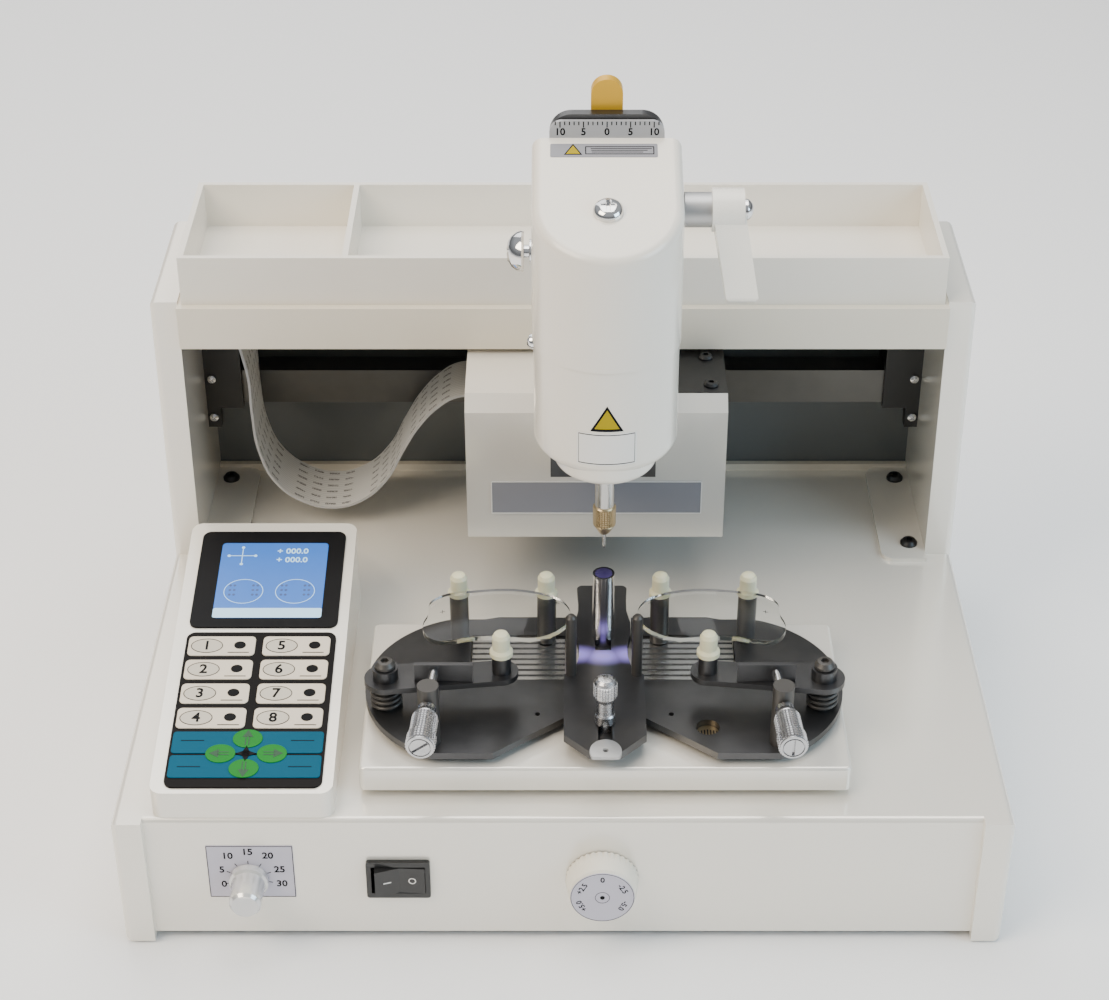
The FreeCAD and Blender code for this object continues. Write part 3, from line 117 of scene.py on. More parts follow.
class Bench:
    """Modelling by hand: a primitive is added at its size, shaped in edit mode and put in its place."""

    @staticmethod
    def clear() -> None:
        """Deselect everything."""
        bpy.ops.object.select_all(action="DESELECT")

    @staticmethod
    def only(*pieces: Piece) -> None:
        """Select these pieces and nothing else; the first one is active."""
        Bench.clear()
        for piece in pieces:
            piece.select_set(True)
        bpy.context.view_layer.objects.active = pieces[0]

    @staticmethod
    @contextmanager
    def shaping(piece: Piece, kind: str = "FACE") -> Iterator[None]:
        """Work on one piece in edit mode.

        Args:
            piece: the piece to shape.
            kind: what is selected, VERT, EDGE or FACE.
        """
        Bench.only(piece)
        bpy.context.tool_settings.mesh_select_mode = tuple(kind == name for name in ("VERT", "EDGE", "FACE"))
        bpy.ops.object.mode_set(mode="EDIT")
        yield
        bpy.ops.object.mode_set(mode="OBJECT")

    @staticmethod
    def pick_faces(piece: Piece, chosen: Callable[[bpy.types.MeshPolygon], bool]) -> None:
        """Select the faces for which chosen holds, before shaping."""
        mesh = piece.data
        for item in (*mesh.vertices, *mesh.edges):
            item.select = False
        for face in mesh.polygons:
            face.select = chosen(face)

    @staticmethod
    def pick_edges(piece: Piece, chosen: Callable[[Vector, Vector], bool]) -> None:
        """Select the edges for which chosen(first end, second end) holds, before shaping."""
        mesh = piece.data
        for item in (*mesh.vertices, *mesh.polygons):
            item.select = False
        for edge in mesh.edges:
            first, second = (mesh.vertices[i] for i in edge.vertices)
            edge.select = chosen(first.co, second.co)
            if edge.select:
                first.select = second.select = True

    @staticmethod
    def bake_place(piece: Piece) -> Piece:
        """Put the object's own place, turn and scale into its mesh."""
        Bench.only(piece)
        bpy.ops.object.transform_apply(location=True, rotation=True, scale=True)
        return piece

    @staticmethod
    def settle(piece: Piece, place: Matrix, name: str) -> Piece:
        """Name a piece, move it to its place and put that place into its mesh."""
        piece.name = name
        piece.data.name = name
        piece.matrix_world = place @ piece.matrix_world
        return Bench.bake_place(piece)

    @staticmethod
    def outward(piece: Piece) -> Piece:
        """Close doubles and turn every face outwards."""
        with Bench.shaping(piece):
            bpy.ops.mesh.select_all(action="SELECT")
            bpy.ops.mesh.remove_doubles(threshold=DUST)
            bpy.ops.mesh.normals_make_consistent(inside=False)
        return piece

    @staticmethod
    def smooth(piece: Piece, angle: float = CREASE) -> Piece:
        """Shade smooth, with edges sharper than the angle kept crisp."""
        Bench.only(piece)
        bpy.ops.object.shade_smooth_by_angle(angle=math.radians(angle))
        return piece

    @staticmethod
    def apply(piece: Piece, kind: str, **settings: object) -> Piece:
        """Add a modifier with its settings and apply it."""
        Bench.only(piece)
        modifier = piece.modifiers.new(kind.title(), kind)
        for key, setting in settings.items():
            setattr(modifier, key, setting)
        bpy.ops.object.modifier_apply(modifier=modifier.name)
        return piece

    @staticmethod
    def soften(piece: Piece, width: float, segments: int = 2) -> Piece:
        """Bevel the piece's sharp edges."""
        return Bench.apply(piece, "BEVEL", width=width * MM, segments=segments, limit_method="ANGLE",
                           angle_limit=math.radians(CREASE))

    @staticmethod
    def carve(piece: Piece, tool: Piece) -> Piece:
        """Cut a tool out of a piece and throw the tool away."""
        Bench.apply(piece, "BOOLEAN", operation="DIFFERENCE", solver="EXACT", object=tool)
        bpy.data.objects.remove(tool)
        return piece

    @staticmethod
    def joined(name: str, pieces: Sequence[Piece]) -> Piece:
        """Make one piece of several."""
        Bench.only(*pieces)
        if len(pieces) > 1:
            bpy.ops.object.join()
        pieces[0].name = name
        pieces[0].data.name = name
        return pieces[0]

    @staticmethod
    def block(size: Triple) -> Piece:
        """A box of a size in millimetres, standing on its own Z = 0."""
        Bench.clear()
        bpy.ops.mesh.primitive_cube_add(size=MM, location=(0, 0, size[2] * MM / 2))
        piece = bpy.context.object
        piece.scale = size
        return Bench.bake_place(piece)

    @staticmethod
    def round_edges(piece: Piece, chosen: Callable[[Vector, Vector], bool], width: float, segments: int) -> None:
        """Bevel the edges for which chosen(first end, second end) holds."""
        Bench.pick_edges(piece, chosen)
        with Bench.shaping(piece, "EDGE"):
            bpy.ops.mesh.bevel(offset=width * MM, segments=segments)

    @staticmethod
    def round_corners(piece: Piece, thick: float, radius: float, segments: int) -> None:
        """Round the upright edges of an unplaced plate."""
        Bench.round_edges(piece, lambda a, b: abs(a.z - b.z) > 0.5 * thick * MM, radius, segments)

    @staticmethod
    def round_top(piece: Piece, thick: float, width: float) -> None:
        """Bevel the edges round the upper side of an unplaced plate or disc."""
        top = thick * MM * 0.99
        Bench.round_edges(piece, lambda a, b: a.z > top and b.z > top, width, 2)

    @staticmethod
    def plate(name: str, place: Matrix, size: Pair, thick: float, corner: float = 0.0,
              edge: float = 0.0) -> Piece:
        """A flat plate with rounded corners.

        Args:
            name: the piece's name.
            place: where the middle of its underside goes.
            size: width and height.
            thick: thickness.
            corner: radius of its corners.
            edge: bevel round its upper side.

        Returns:
            The plate, in its place.
        """
        piece = Bench.block((size[0], size[1], thick))
        if corner:
            Bench.round_corners(piece, thick, corner, 5)
        if edge:
            Bench.round_top(piece, thick, edge)
        return Bench.settle(piece, place, name)

    @staticmethod
    def frame_line(name: str, place: Matrix, size: Pair, width: float, thick: float = PRINT_THICK,
                   corner: float = 0.6) -> Piece:
        """A thin rounded outline round a rectangle."""
        piece = Bench.block((size[0], size[1], thick))
        Bench.round_corners(piece, thick, corner, 4)
        Bench.pick_faces(piece, lambda face: abs(face.normal.z) > 0.9)
        with Bench.shaping(piece):
            bpy.ops.mesh.inset(thickness=width * MM, depth=0)
            bpy.ops.mesh.bridge_edge_loops()
        Bench.outward(piece)
        return Bench.settle(piece, place, name)

    @staticmethod
    def disc(name: str, place: Matrix, radius: float, thick: float, sides: int = 48, edge: float = 0.0,
             squeeze: float = 1.0) -> Piece:
        """A round or oval disc, standing on its place."""
        Bench.clear()
        bpy.ops.mesh.primitive_cylinder_add(vertices=sides, radius=radius * MM, depth=thick * MM,
                                            location=(0, 0, thick * MM / 2))
        piece = bpy.context.object
        piece.scale = (1, squeeze, 1)
        Bench.bake_place(piece)
        if edge:
            Bench.round_top(piece, thick, edge)
        return Bench.settle(piece, place, name)

    @staticmethod
    def ring(name: str, place: Matrix, radius: float, width: float, squeeze: float = 1.0,
             thick: float = PRINT_THICK, sides: int = 36) -> Piece:
        """A thin round or oval ring."""
        Bench.clear()
        bpy.ops.mesh.primitive_circle_add(vertices=sides, radius=radius * MM, fill_type="NGON")
        piece = bpy.context.object
        piece.scale = (1, squeeze, 1)
        Bench.bake_place(piece)
        Bench.pick_faces(piece, lambda face: True)
        with Bench.shaping(piece):
            bpy.ops.mesh.inset(thickness=width * MM, depth=0)
            bpy.ops.mesh.delete(type="FACE")
            bpy.ops.mesh.select_all(action="SELECT")
            bpy.ops.mesh.extrude_region_move(TRANSFORM_OT_translate={"value": (0, 0, thick * MM)})
        Bench.outward(piece)
        return Bench.settle(piece, place, name)

    @staticmethod
    def figures(name: str, place: Matrix, words: str, size: float, thick: float = 0.03,
                weight: float = 0.022) -> Piece:
        """Raised numerals, centred on their place; weight thickens their strokes."""
        Bench.clear()
        bpy.ops.object.text_add()
        piece = bpy.context.object
        piece.data.body = words
        piece.data.size = size * MM
        piece.data.align_x = "CENTER"
        piece.data.align_y = "CENTER"
        piece.data.resolution_u = 3
        piece.data.extrude = thick * MM
        piece.data.offset = weight * size * MM
        Bench.only(piece)
        bpy.ops.object.convert(target="MESH")
        return Bench.settle(bpy.context.object, place, name)

    @staticmethod
    def lathe(name: str, place: Matrix, profile: Sequence[Pair], sides: int = 48) -> Piece:
        """A turned piece, raised ring by ring.

        Args:
            name: the piece's name.
            place: its axis and the foot of its profile.
            profile: radius and height of each ring, from the foot up.
            sides: faces round the axis.

        Returns:
            The turned piece, in its place.
        """
        Bench.clear()
        radius, height = profile[0]
        bpy.ops.mesh.primitive_circle_add(vertices=sides, radius=radius * MM, fill_type="NGON",
                                          location=(0, 0, height * MM))
        piece = Bench.bake_place(bpy.context.object)
        with Bench.shaping(piece):
            bpy.ops.mesh.select_all(action="SELECT")
            for wide, high in profile[1:]:
                bpy.ops.mesh.extrude_region_move(TRANSFORM_OT_translate={"value": (0, 0, (high - height) * MM)})
                scale = wide / radius
                bpy.ops.transform.resize(value=(scale, scale, 1), center_override=(0, 0, high * MM))
                radius, height = wide, high
        Bench.outward(piece)
        return Bench.settle(piece, place, name)

    @staticmethod
    def knurl(piece: Piece, low: float, high: float, depth: float, gap: float = 0.06) -> Piece:
        """Raise a stud on each side face between two heights of an unplaced turned piece."""
        Bench.pick_faces(piece, lambda face: abs(face.normal.z) < 0.4 and low * MM < face.center.z < high * MM)
        with Bench.shaping(piece):
            bpy.ops.mesh.inset(thickness=gap * MM, depth=depth * MM, use_individual=True)
        return piece

    @staticmethod
    def rings(radius: float, low: float, high: float, count: int) -> list[Pair]:
        """Evenly spaced rings of one radius, for a knurled band."""
        return [(radius, low + (high - low) * i / count) for i in range(count + 1)]


# ---------------------------------------------------------------- finishes

class Grain(Enum):
    """What the small-scale surface of a finish is like."""

    SPRAYED = "sprayed paint"
    MOULDED = "moulded plastic"
    BRUSHED = "brushed metal"
    TURNED = "turned metal"
    SOFT = "soft rubber"
    PRINTED = "printed film"
    KNURLED = "knurled metal"
    CLEAR = "clear"


@dataclass(frozen=True)
class GrainRecipe:
    """Settings of one grain: noise stretch and scale per metre, bump height and roughness spread."""

    stretch: Triple
    scale: float
    height: float
    spread: float


GRAINS = {
    Grain.SPRAYED: GrainRecipe((1, 1, 1), 900.0, 0.018, 0.08),
    Grain.MOULDED: GrainRecipe((1, 1, 1), 2200.0, 0.02, 0.08),
    Grain.BRUSHED: GrainRecipe((0.04, 1, 1), 3200.0, 0.05, 0.16),
    Grain.TURNED: GrainRecipe((0.25, 0.25, 1), 4200.0, 0.035, 0.12),
    Grain.SOFT: GrainRecipe((1, 1, 1), 1500.0, 0.05, 0.15),
    Grain.PRINTED: GrainRecipe((1, 1, 1), 3000.0, 0.01, 0.1),
    Grain.KNURLED: GrainRecipe((1, 1, 1), 1700.0, 0.12, 0.15),
}


class Desk:
    """Lays out the nodes of one tree."""

    def __init__(self, tree: bpy.types.NodeTree) -> None:
        """Start on a tree."""
        self.tree = tree

    def add(self, kind: str, **settings: object) -> bpy.types.Node:
        """Add a node; settings name its attributes, or its inputs by socket name with _ for spaces."""
        node = self.tree.nodes.new(kind)
        for key, setting in settings.items():
            if key.startswith("in_"):
                node.inputs[key[3:].replace("_", " ")].default_value = setting
            else:
                setattr(node, key, setting)
        return node

    def link(self, source: bpy.types.NodeSocket, target: bpy.types.NodeSocket) -> None:
        """Join two sockets."""
        self.tree.links.new(source, target)

    def first(self, kind: str) -> bpy.types.Node:
        """The first node of a type that the tree already has."""
        return next(node for node in self.tree.nodes if node.type == kind)

    def spot(self) -> bpy.types.NodeSocket:
        """Where a point is on its piece, in metres."""
        return self.add("ShaderNodeTexCoord").outputs["Object"]

    def ramp(self, value: bpy.types.NodeSocket, **settings: object) -> bpy.types.NodeSocket:
        """A value mapped from one range to another."""
        node = self.add("ShaderNodeMapRange", **settings)
        self.link(value, node.inputs["Value"])
        return node.outputs[0]

    def blend(self, factor: bpy.types.NodeSocket, first: object, second: object) -> bpy.types.NodeSocket:
        """A mix of two colours, each a socket or a plain colour."""
        node = self.add("ShaderNodeMix", data_type="RGBA")
        self.link(factor, node.inputs["Factor"])
        for name, item in (("A", first), ("B", second)):
            if isinstance(item, bpy.types.NodeSocket):
                self.link(item, node.inputs[name])
            else:
                node.inputs[name].default_value = (*item, 1)
        return node.outputs["Result"]

    def vector(self, operation: str, *given: bpy.types.NodeSocket) -> bpy.types.Node:
        """A vector math node on sockets."""
        node = self.add("ShaderNodeVectorMath", operation=operation)
        for source, target in zip(given, node.inputs):
            self.link(source, target)
        return node

    def noise(self, spot: bpy.types.NodeSocket, **settings: object) -> bpy.types.Node:
        """A noise texture at a place."""
        node = self.add("ShaderNodeTexNoise", **settings)
        self.link(spot, node.inputs["Vector"])
        return node

    @staticmethod
    def dial(node: bpy.types.Node, **settings: object) -> None:
        """Set a node's inputs by socket name with _ for spaces; a colour gets its alpha."""
        for key, setting in settings.items():
            socket = node.inputs[key.replace("_", " ")]
            socket.default_value = (*setting, 1) if socket.type == "RGBA" else setting

    def math(self, operation: str, first: object, second: object = 0.0) -> bpy.types.NodeSocket:
        """A math node on sockets or numbers.

        Returns:
            Its result.
        """
        node = self.add("ShaderNodeMath", operation=operation)
        for i, item in enumerate((first, second)):
            if isinstance(item, bpy.types.NodeSocket):
                self.link(item, node.inputs[i])
            else:
                node.inputs[i].default_value = item
        return node.outputs[0]


class Effects:
    """Shader node groups that several finishes share, each built once."""

    _groups: dict[str, bpy.types.NodeTree] = {}

    @classmethod
    def _new(cls, name: str, inputs: Sequence[tuple[str, str]],
             outputs: Sequence[tuple[str, str]]) -> tuple[bpy.types.NodeTree, Desk]:
        """Start a group with named sockets."""
        group = bpy.data.node_groups.new(name, "ShaderNodeTree")
        for label, kind in inputs:
            group.interface.new_socket(name=label, in_out="INPUT", socket_type="NodeSocket" + kind)
        for label, kind in outputs:
            group.interface.new_socket(name=label, in_out="OUTPUT", socket_type="NodeSocket" + kind)
        cls._groups[name] = group
        return group, Desk(group)

    @classmethod
    def grain(cls) -> bpy.types.NodeTree:
        """Fine grain: Height for a bump, and Sheen, a roughness that wanders over the surface.

        Returns:
            The group, with inputs Stretch, Scale, Rough and Spread.
        """
        if "fine_grain" in cls._groups:
            return cls._groups["fine_grain"]
        group, desk = cls._new("fine_grain",
                               [("Stretch", "Vector"), ("Scale", "Float"), ("Rough", "Float"), ("Spread", "Float")],
                               [("Height", "Float"), ("Sheen", "Float")])
        given = desk.add("NodeGroupInput")
        result = desk.add("NodeGroupOutput")
        spot = desk.spot()
        stretched = desk.vector("MULTIPLY", spot, given.outputs["Stretch"])
        fine = desk.noise(stretched.outputs[0], in_Detail=3.0, in_Roughness=0.6)
        desk.link(given.outputs["Scale"], fine.inputs["Scale"])
        broad = desk.noise(spot, in_Scale=38.0, in_Detail=4.0)
        mixed = desk.math("ADD", desk.math("MULTIPLY", fine.outputs[0], 0.5),
                          desk.math("MULTIPLY", broad.outputs[0], 0.5))
        swing = desk.math("MULTIPLY", desk.math("SUBTRACT", mixed, 0.5), given.outputs["Spread"])
        desk.link(desk.math("ADD", given.outputs["Rough"], swing), result.inputs["Sheen"])
        desk.link(fine.outputs[0], result.inputs["Height"])
        return group

    @classmethod
    def handling(cls) -> bpy.types.NodeTree:
        """Handling marks: a tint that darkens or yellows a colour in broad soft patches and fine specks.

        Returns:
            The group, with inputs Colour, Tint, Amount and Specks and the output Colour.
        """
        if "handling_marks" in cls._groups:
            return cls._groups["handling_marks"]
        group, desk = cls._new("handling_marks",
                               [("Colour", "Color"), ("Tint", "Color"), ("Amount", "Float"), ("Specks", "Float")],
                               [("Colour", "Color")])
        given = desk.add("NodeGroupInput")
        result = desk.add("NodeGroupOutput")
        spot = desk.spot()
        patches = desk.noise(spot, in_Scale=14.0, in_Detail=5.0, in_Roughness=0.62)
        specks = desk.add("ShaderNodeTexVoronoi", in_Scale=520.0, in_Randomness=1.0)
        desk.link(spot, specks.inputs["Vector"])
        patch = desk.ramp(patches.outputs[0], in_From_Min=0.42, in_From_Max=0.72)
        dots = desk.ramp(specks.outputs["Distance"], in_From_Min=0.09, in_From_Max=0.02)
        mask = desk.math("MAXIMUM", desk.math("MULTIPLY", patch, given.outputs["Amount"]),
                         desk.math("MULTIPLY", dots, given.outputs["Specks"]))
        mixed = desk.blend(mask, given.outputs["Colour"], given.outputs["Tint"])
        desk.link(mixed, result.inputs["Colour"])
        return group

    @classmethod
    def nearness(cls) -> bpy.types.NodeTree:
        """Nearness to a place: 1 at the centre, 0 beyond the reach.

        Returns:
            The group, with inputs Centre, Squeeze and Reach and the output Mask.
        """
        if "nearness" in cls._groups:
            return cls._groups["nearness"]
        group, desk = cls._new("nearness", [("Centre", "Vector"), ("Squeeze", "Vector"), ("Reach", "Float")],
                               [("Mask", "Float")])
        given = desk.add("NodeGroupInput")
        result = desk.add("NodeGroupOutput")
        apart = desk.vector("SUBTRACT", desk.spot(), given.outputs["Centre"])
        squeezed = desk.vector("MULTIPLY", apart.outputs[0], given.outputs["Squeeze"])
        far = desk.vector("LENGTH", squeezed.outputs[0])
        fall = desk.add("ShaderNodeMapRange", interpolation_type="SMOOTHSTEP", in_From_Min=0.0, in_To_Min=1.0,
                        in_To_Max=0.0)
        desk.link(far.outputs["Value"], fall.inputs["Value"])
        desk.link(given.outputs["Reach"], fall.inputs["From Max"])
        desk.link(fall.outputs[0], result.inputs["Mask"])
        return group


@dataclass(frozen=True)
class Finish:
    """One finish of the machine: its colour, sheen and grain."""

    name: str
    colour: Triple
    rough: float
    grain: Grain = Grain.MOULDED
    metal: float = 0.0
    coat: float = 0.0
    tint: Triple = (0.4, 0.36, 0.3)
    amount: float = 0.12
    specks: float = 0.0
    clear: float = 0.0
    soft: float = 0.0
    ior: float = 1.5

    def material(self) -> bpy.types.Material:
        """Build the material, or give the one already built.

        Returns:
            The material.
        """
        found = bpy.data.materials.get(self.name)
        if found is not None:
            return found
        made = bpy.data.materials.new(self.name)
        made.use_nodes = True
        desk = Desk(made.node_tree)
        shader = desk.first("BSDF_PRINCIPLED")
        desk.dial(shader, Metallic=self.metal, Coat_Weight=self.coat, Coat_Roughness=0.12, IOR=self.ior,
                  Transmission_Weight=self.clear)
        if self.soft:
            desk.dial(shader, Subsurface_Weight=self.soft, Subsurface_Radius=(0.004, 0.0035, 0.002))
        if self.clear:
            desk.dial(shader, Base_Color=self.colour, Roughness=self.rough)
            return made
        recipe = GRAINS[self.grain]
        grain = desk.add("ShaderNodeGroup", node_tree=Effects.grain())
        desk.dial(grain, Stretch=recipe.stretch, Scale=recipe.scale, Rough=self.rough, Spread=recipe.spread)
        marks = desk.add("ShaderNodeGroup", node_tree=Effects.handling())
        desk.dial(marks, Colour=self.colour, Tint=self.tint, Amount=self.amount, Specks=self.specks)
        desk.link(self.colouring(desk, shader, marks.outputs["Colour"]), shader.inputs["Base Color"])
        desk.link(grain.outputs["Sheen"], shader.inputs["Roughness"])
        bump = desk.add("ShaderNodeBump", in_Strength=recipe.height * 4, in_Distance=0.0001)
        desk.link(grain.outputs["Height"], bump.inputs["Height"])
        desk.link(bump.outputs[0], shader.inputs["Normal"])
        return made

    def colouring(self, desk: Desk, shader: bpy.types.Node, colour: bpy.types.NodeSocket) -> bpy.types.NodeSocket:
        """The colour that reaches the shader; finishes with a pattern add it here."""
        return colour


@dataclass(frozen=True)
class TwoTone(Finish):
    """A finish that turns to a second colour where one coordinate passes a level; it carries the rear wall's painted
    shade and the depth knob's painted highlight.
    """

    second: Triple = (0.5, 0.5, 0.5)
    axis: str = "Z"
    level: float = 0.0
    until: float = 10.0
    blur: float = 0.0005

    def colouring(self, desk: Desk, shader: bpy.types.Node, colour: bpy.types.NodeSocket) -> bpy.types.NodeSocket:
        """Mix the second colour in from the level until the farther one."""
        split = desk.add("ShaderNodeSeparateXYZ")
        desk.link(desk.spot(), split.inputs[0])
        along = split.outputs[self.axis]
        step = desk.ramp(along, in_From_Min=self.level - self.blur, in_From_Max=self.level + self.blur)
        end = desk.ramp(along, in_From_Min=self.until + self.blur, in_From_Max=self.until - self.blur)
        return desk.blend(desk.math("MINIMUM", step, end), colour, self.second)


@dataclass(frozen=True)
class LampLit(Finish):
    """A finish with the violet light of the drilling lamp on it, round some places."""

    glow: Triple = (0.42, 0.32, 1.0)
    strength: float = 1.0
    places: tuple[Triple, ...] = ()
    squeeze: Triple = (1.0, 1.0, 1.0)
    reach: float = 0.008

    def colouring(self, desk: Desk, shader: bpy.types.Node, colour: bpy.types.NodeSocket) -> bpy.types.NodeSocket:
        """Feed the glow to the shader and leave the colour as it is."""
        total: object = 0.0
        for place in self.places:
            near = desk.add("ShaderNodeGroup", node_tree=Effects.nearness())
            desk.dial(near, Centre=place, Squeeze=self.squeeze, Reach=self.reach)
            total = desk.math("MAXIMUM", near.outputs["Mask"], total)
        lit = desk.blend(total, (0, 0, 0), self.glow)
        desk.link(lit, shader.inputs["Emission Color"])
        shader.inputs["Emission Strength"].default_value = self.strength
        return colour


@dataclass(frozen=True)
class Backlit(Finish):
    """A printed surface lit evenly from behind."""

    strength: float = 0.6

    def colouring(self, desk: Desk, shader: bpy.types.Node, colour: bpy.types.NodeSocket) -> bpy.types.NodeSocket:
        """Send the colour to the emission as well."""
        desk.link(colour, shader.inputs["Emission Color"])
        shader.inputs["Emission Strength"].default_value = self.strength
        return colour


@dataclass(frozen=True)
class PrintedRibbon(Finish):
    """Flat cable: fine conductors side by side with painted shade in the grooves between them, and short printed
    dashes in rows along one face.
    """

    pitch: float = 0.00127
    ink: Triple = (0.05, 0.05, 0.06)
    groove: Triple = (0.25, 0.25, 0.27)
    dash_pitch: float = 0.0062
    lane_pitch: float = 0.0042
    block_pitch: float = 0.031

    def colouring(self, desk: Desk, shader: bpy.types.Node, colour: bpy.types.NodeSocket) -> bpy.types.NodeSocket:
        """Paint shade into the grooves between conductors, and print the dashes."""
        run = desk.add("ShaderNodeAttribute", attribute_name="run").outputs["Fac"]
        across = desk.add("ShaderNodeAttribute", attribute_name="across").outputs["Fac"]
        wave = desk.math("ABSOLUTE", desk.math("SINE", desk.math("MULTIPLY", across, math.pi / self.pitch)))
        # Painted shade: the flat band is darkened in lines one conductor pitch apart, where the real grooves are
        # shaded.
        groove = desk.ramp(wave, in_From_Min=0.0, in_From_Max=0.5, in_To_Min=0.55, in_To_Max=0.0)
        shade = desk.blend(groove, colour, self.groove)
        dash = desk.math("LESS_THAN", desk.math("FRACT", desk.math("MULTIPLY", run, 1 / self.dash_pitch)), 0.62)
        lane = desk.math("FRACT", desk.math("MULTIPLY", across, 1 / self.lane_pitch))
        row = desk.math("MULTIPLY", desk.math("GREATER_THAN", lane, 0.36), desk.math("LESS_THAN", lane, 0.64))
        block = desk.math("LESS_THAN", desk.math("FRACT", desk.math("MULTIPLY", run, 1 / self.block_pitch)), 0.72)
        broken = desk.noise(desk.spot(), in_Scale=2600.0, in_Detail=1.0)
        solid = desk.math("GREATER_THAN", broken.outputs[0], 0.44)
        ink = desk.math("MULTIPLY", desk.math("MULTIPLY", dash, row), desk.math("MULTIPLY", block, solid))
        return desk.blend(desk.math("MULTIPLY", ink, 0.8), shade, self.ink)


CREAM_PAINT = Finish("cream_paint", (0.79, 0.725, 0.6), 0.32, Grain.SPRAYED, coat=0.25, tint=(0.72, 0.66, 0.55),
                     amount=0.25, specks=0.05)
# Rear wall's front face, Y 108.9 to 110.5 mm, turns dark grey: partly the wall's own darker grey, partly painted shade
# from the beam above it.
FRAME_PAINT_AND_WALL_SHADE = TwoTone("frame_paint_and_wall_shade", (0.79, 0.725, 0.6), 0.32, Grain.SPRAYED, coat=0.25, tint=(0.72, 0.66, 0.55),
                      amount=0.25, specks=0.05, second=(0.12, 0.13, 0.13), axis="Y", level=0.1089, until=0.1105,
                      blur=0.0003)
HEAD_PAINT = Finish("head_paint", (0.84, 0.79, 0.70), 0.24, Grain.SPRAYED, coat=0.4, tint=(0.78, 0.72, 0.6),
                    amount=0.2)
TRAY_PLASTIC = Finish("tray_plastic", (0.83, 0.79, 0.71), 0.3, Grain.MOULDED, tint=(0.74, 0.7, 0.6), amount=0.3,
                      specks=0.06)
LEVER_PLASTIC = Finish("lever_plastic", (0.86, 0.83, 0.76), 0.28, Grain.MOULDED, coat=0.2,
                       tint=(0.75, 0.7, 0.6), amount=0.2)
KNOB_PLASTIC = Finish("knob_plastic", (0.82, 0.78, 0.68), 0.38, Grain.MOULDED, tint=(0.6, 0.54, 0.42), amount=0.35)
# Painted highlight: the depth knob turns pale above Z 30.5 mm, on the upper side of its axis.
CLEAR_KNOB_AND_HIGHLIGHT = TwoTone("clear_knob_painted_highlight", (0.62, 0.62, 0.62), 0.16, Grain.TURNED, metal=0.55, coat=0.6,
                     tint=(0.4, 0.4, 0.4), amount=0.3, second=(0.85, 0.84, 0.8), axis="Z", level=0.0305)
BLACKENED = Finish("blackened_steel", (0.07, 0.07, 0.073), 0.33, Grain.BRUSHED, metal=0.85,
                   tint=(0.15, 0.147, 0.145), amount=0.55, specks=0.25)
BLACK_PAINT = Finish("black_paint", (0.004, 0.004, 0.0045), 0.4, Grain.SPRAYED, tint=(0.02, 0.019, 0.018), amount=0.4,
                     specks=0.3)
MOTOR_BLACK = Finish("motor_black", (0.03, 0.03, 0.032), 0.5, Grain.SPRAYED, tint=(0.1, 0.1, 0.1), amount=0.4)
STEEL = Finish("turned_steel", (0.5, 0.49, 0.475), 0.22, Grain.TURNED, metal=1.0, tint=(0.36, 0.34, 0.3), amount=0.45,
               specks=0.2)
RAIL_STEEL = Finish("rail_steel", (0.13, 0.128, 0.122), 0.36, Grain.BRUSHED, metal=1.0, tint=(0.06, 0.058, 0.055),
                    amount=0.5, specks=0.3)
DARK_STEEL = Finish("dark_steel", (0.36, 0.35, 0.335), 0.24, Grain.TURNED, metal=1.0, tint=(0.17, 0.162, 0.15),
                    amount=0.5, specks=0.2)
RIBBED_ALUMINIUM = Finish("ribbed_aluminium", (0.56, 0.56, 0.555), 0.26, Grain.BRUSHED, metal=1.0,
                          tint=(0.2, 0.2, 0.2), amount=0.6)
CAST_ALUMINIUM = Finish("cast_aluminium", (0.5, 0.5, 0.5), 0.45, Grain.SPRAYED, metal=0.9, tint=(0.3, 0.3, 0.3),
                        amount=0.5)
CHROME = Finish("chrome", (0.86, 0.86, 0.87), 0.06, Grain.TURNED, metal=1.0, tint=(0.3, 0.3, 0.31), amount=0.35)
SATIN_CHROME = Finish("satin_chrome", (0.72, 0.72, 0.73), 0.2, Grain.TURNED, metal=1.0, tint=(0.42, 0.42, 0.43),
                      amount=0.4)
KNURLED_CHROME = Finish("knurled_chrome", (0.62, 0.62, 0.63), 0.26, Grain.KNURLED, metal=1.0, tint=(0.26, 0.26, 0.27),
                        amount=0.7)
NUT_BRASS = Finish("nut_brass", (0.47, 0.37, 0.22), 0.32, Grain.TURNED, metal=1.0, tint=(0.24, 0.19, 0.12),
                   amount=0.6, specks=0.4)
BLACK_RUBBER = Finish("black_rubber", (0.022, 0.022, 0.022), 0.8, Grain.SOFT, tint=(0.08, 0.08, 0.08), amount=0.4)
CAP_RUBBER = Finish("cap_rubber", (0.7, 0.68, 0.48), 0.42, Grain.SOFT, soft=0.6, tint=(0.72, 0.66, 0.4),
                    amount=0.5, ior=1.42)
YELLOW_PAINT = Finish("yellow_paint", (0.32, 0.16, 0.0), 0.55, Grain.SPRAYED, tint=(0.18, 0.085, 0.0),
                      amount=0.5, specks=0.1, ior=1.2)
BLACK_PLASTIC = Finish("black_plastic", (0.004, 0.004, 0.0045), 0.3, Grain.MOULDED, tint=(0.015, 0.015, 0.015),
                       amount=0.4)
WINDOW_BLACK = Finish("window_black", (0.005, 0.005, 0.006), 0.35, Grain.PRINTED, ior=1.2, tint=(0.012, 0.011, 0.01),
                      amount=0.3)
FILM_BLACK = Finish("film_black", (0.006, 0.005, 0.005), 0.42, Grain.PRINTED, tint=(0.012, 0.01, 0.009), amount=0.4,
                    ior=1.18)
KEY_CREAM = Finish("key_cream", (0.72, 0.64, 0.52), 0.42, Grain.PRINTED, tint=(0.6, 0.52, 0.4), amount=0.3)
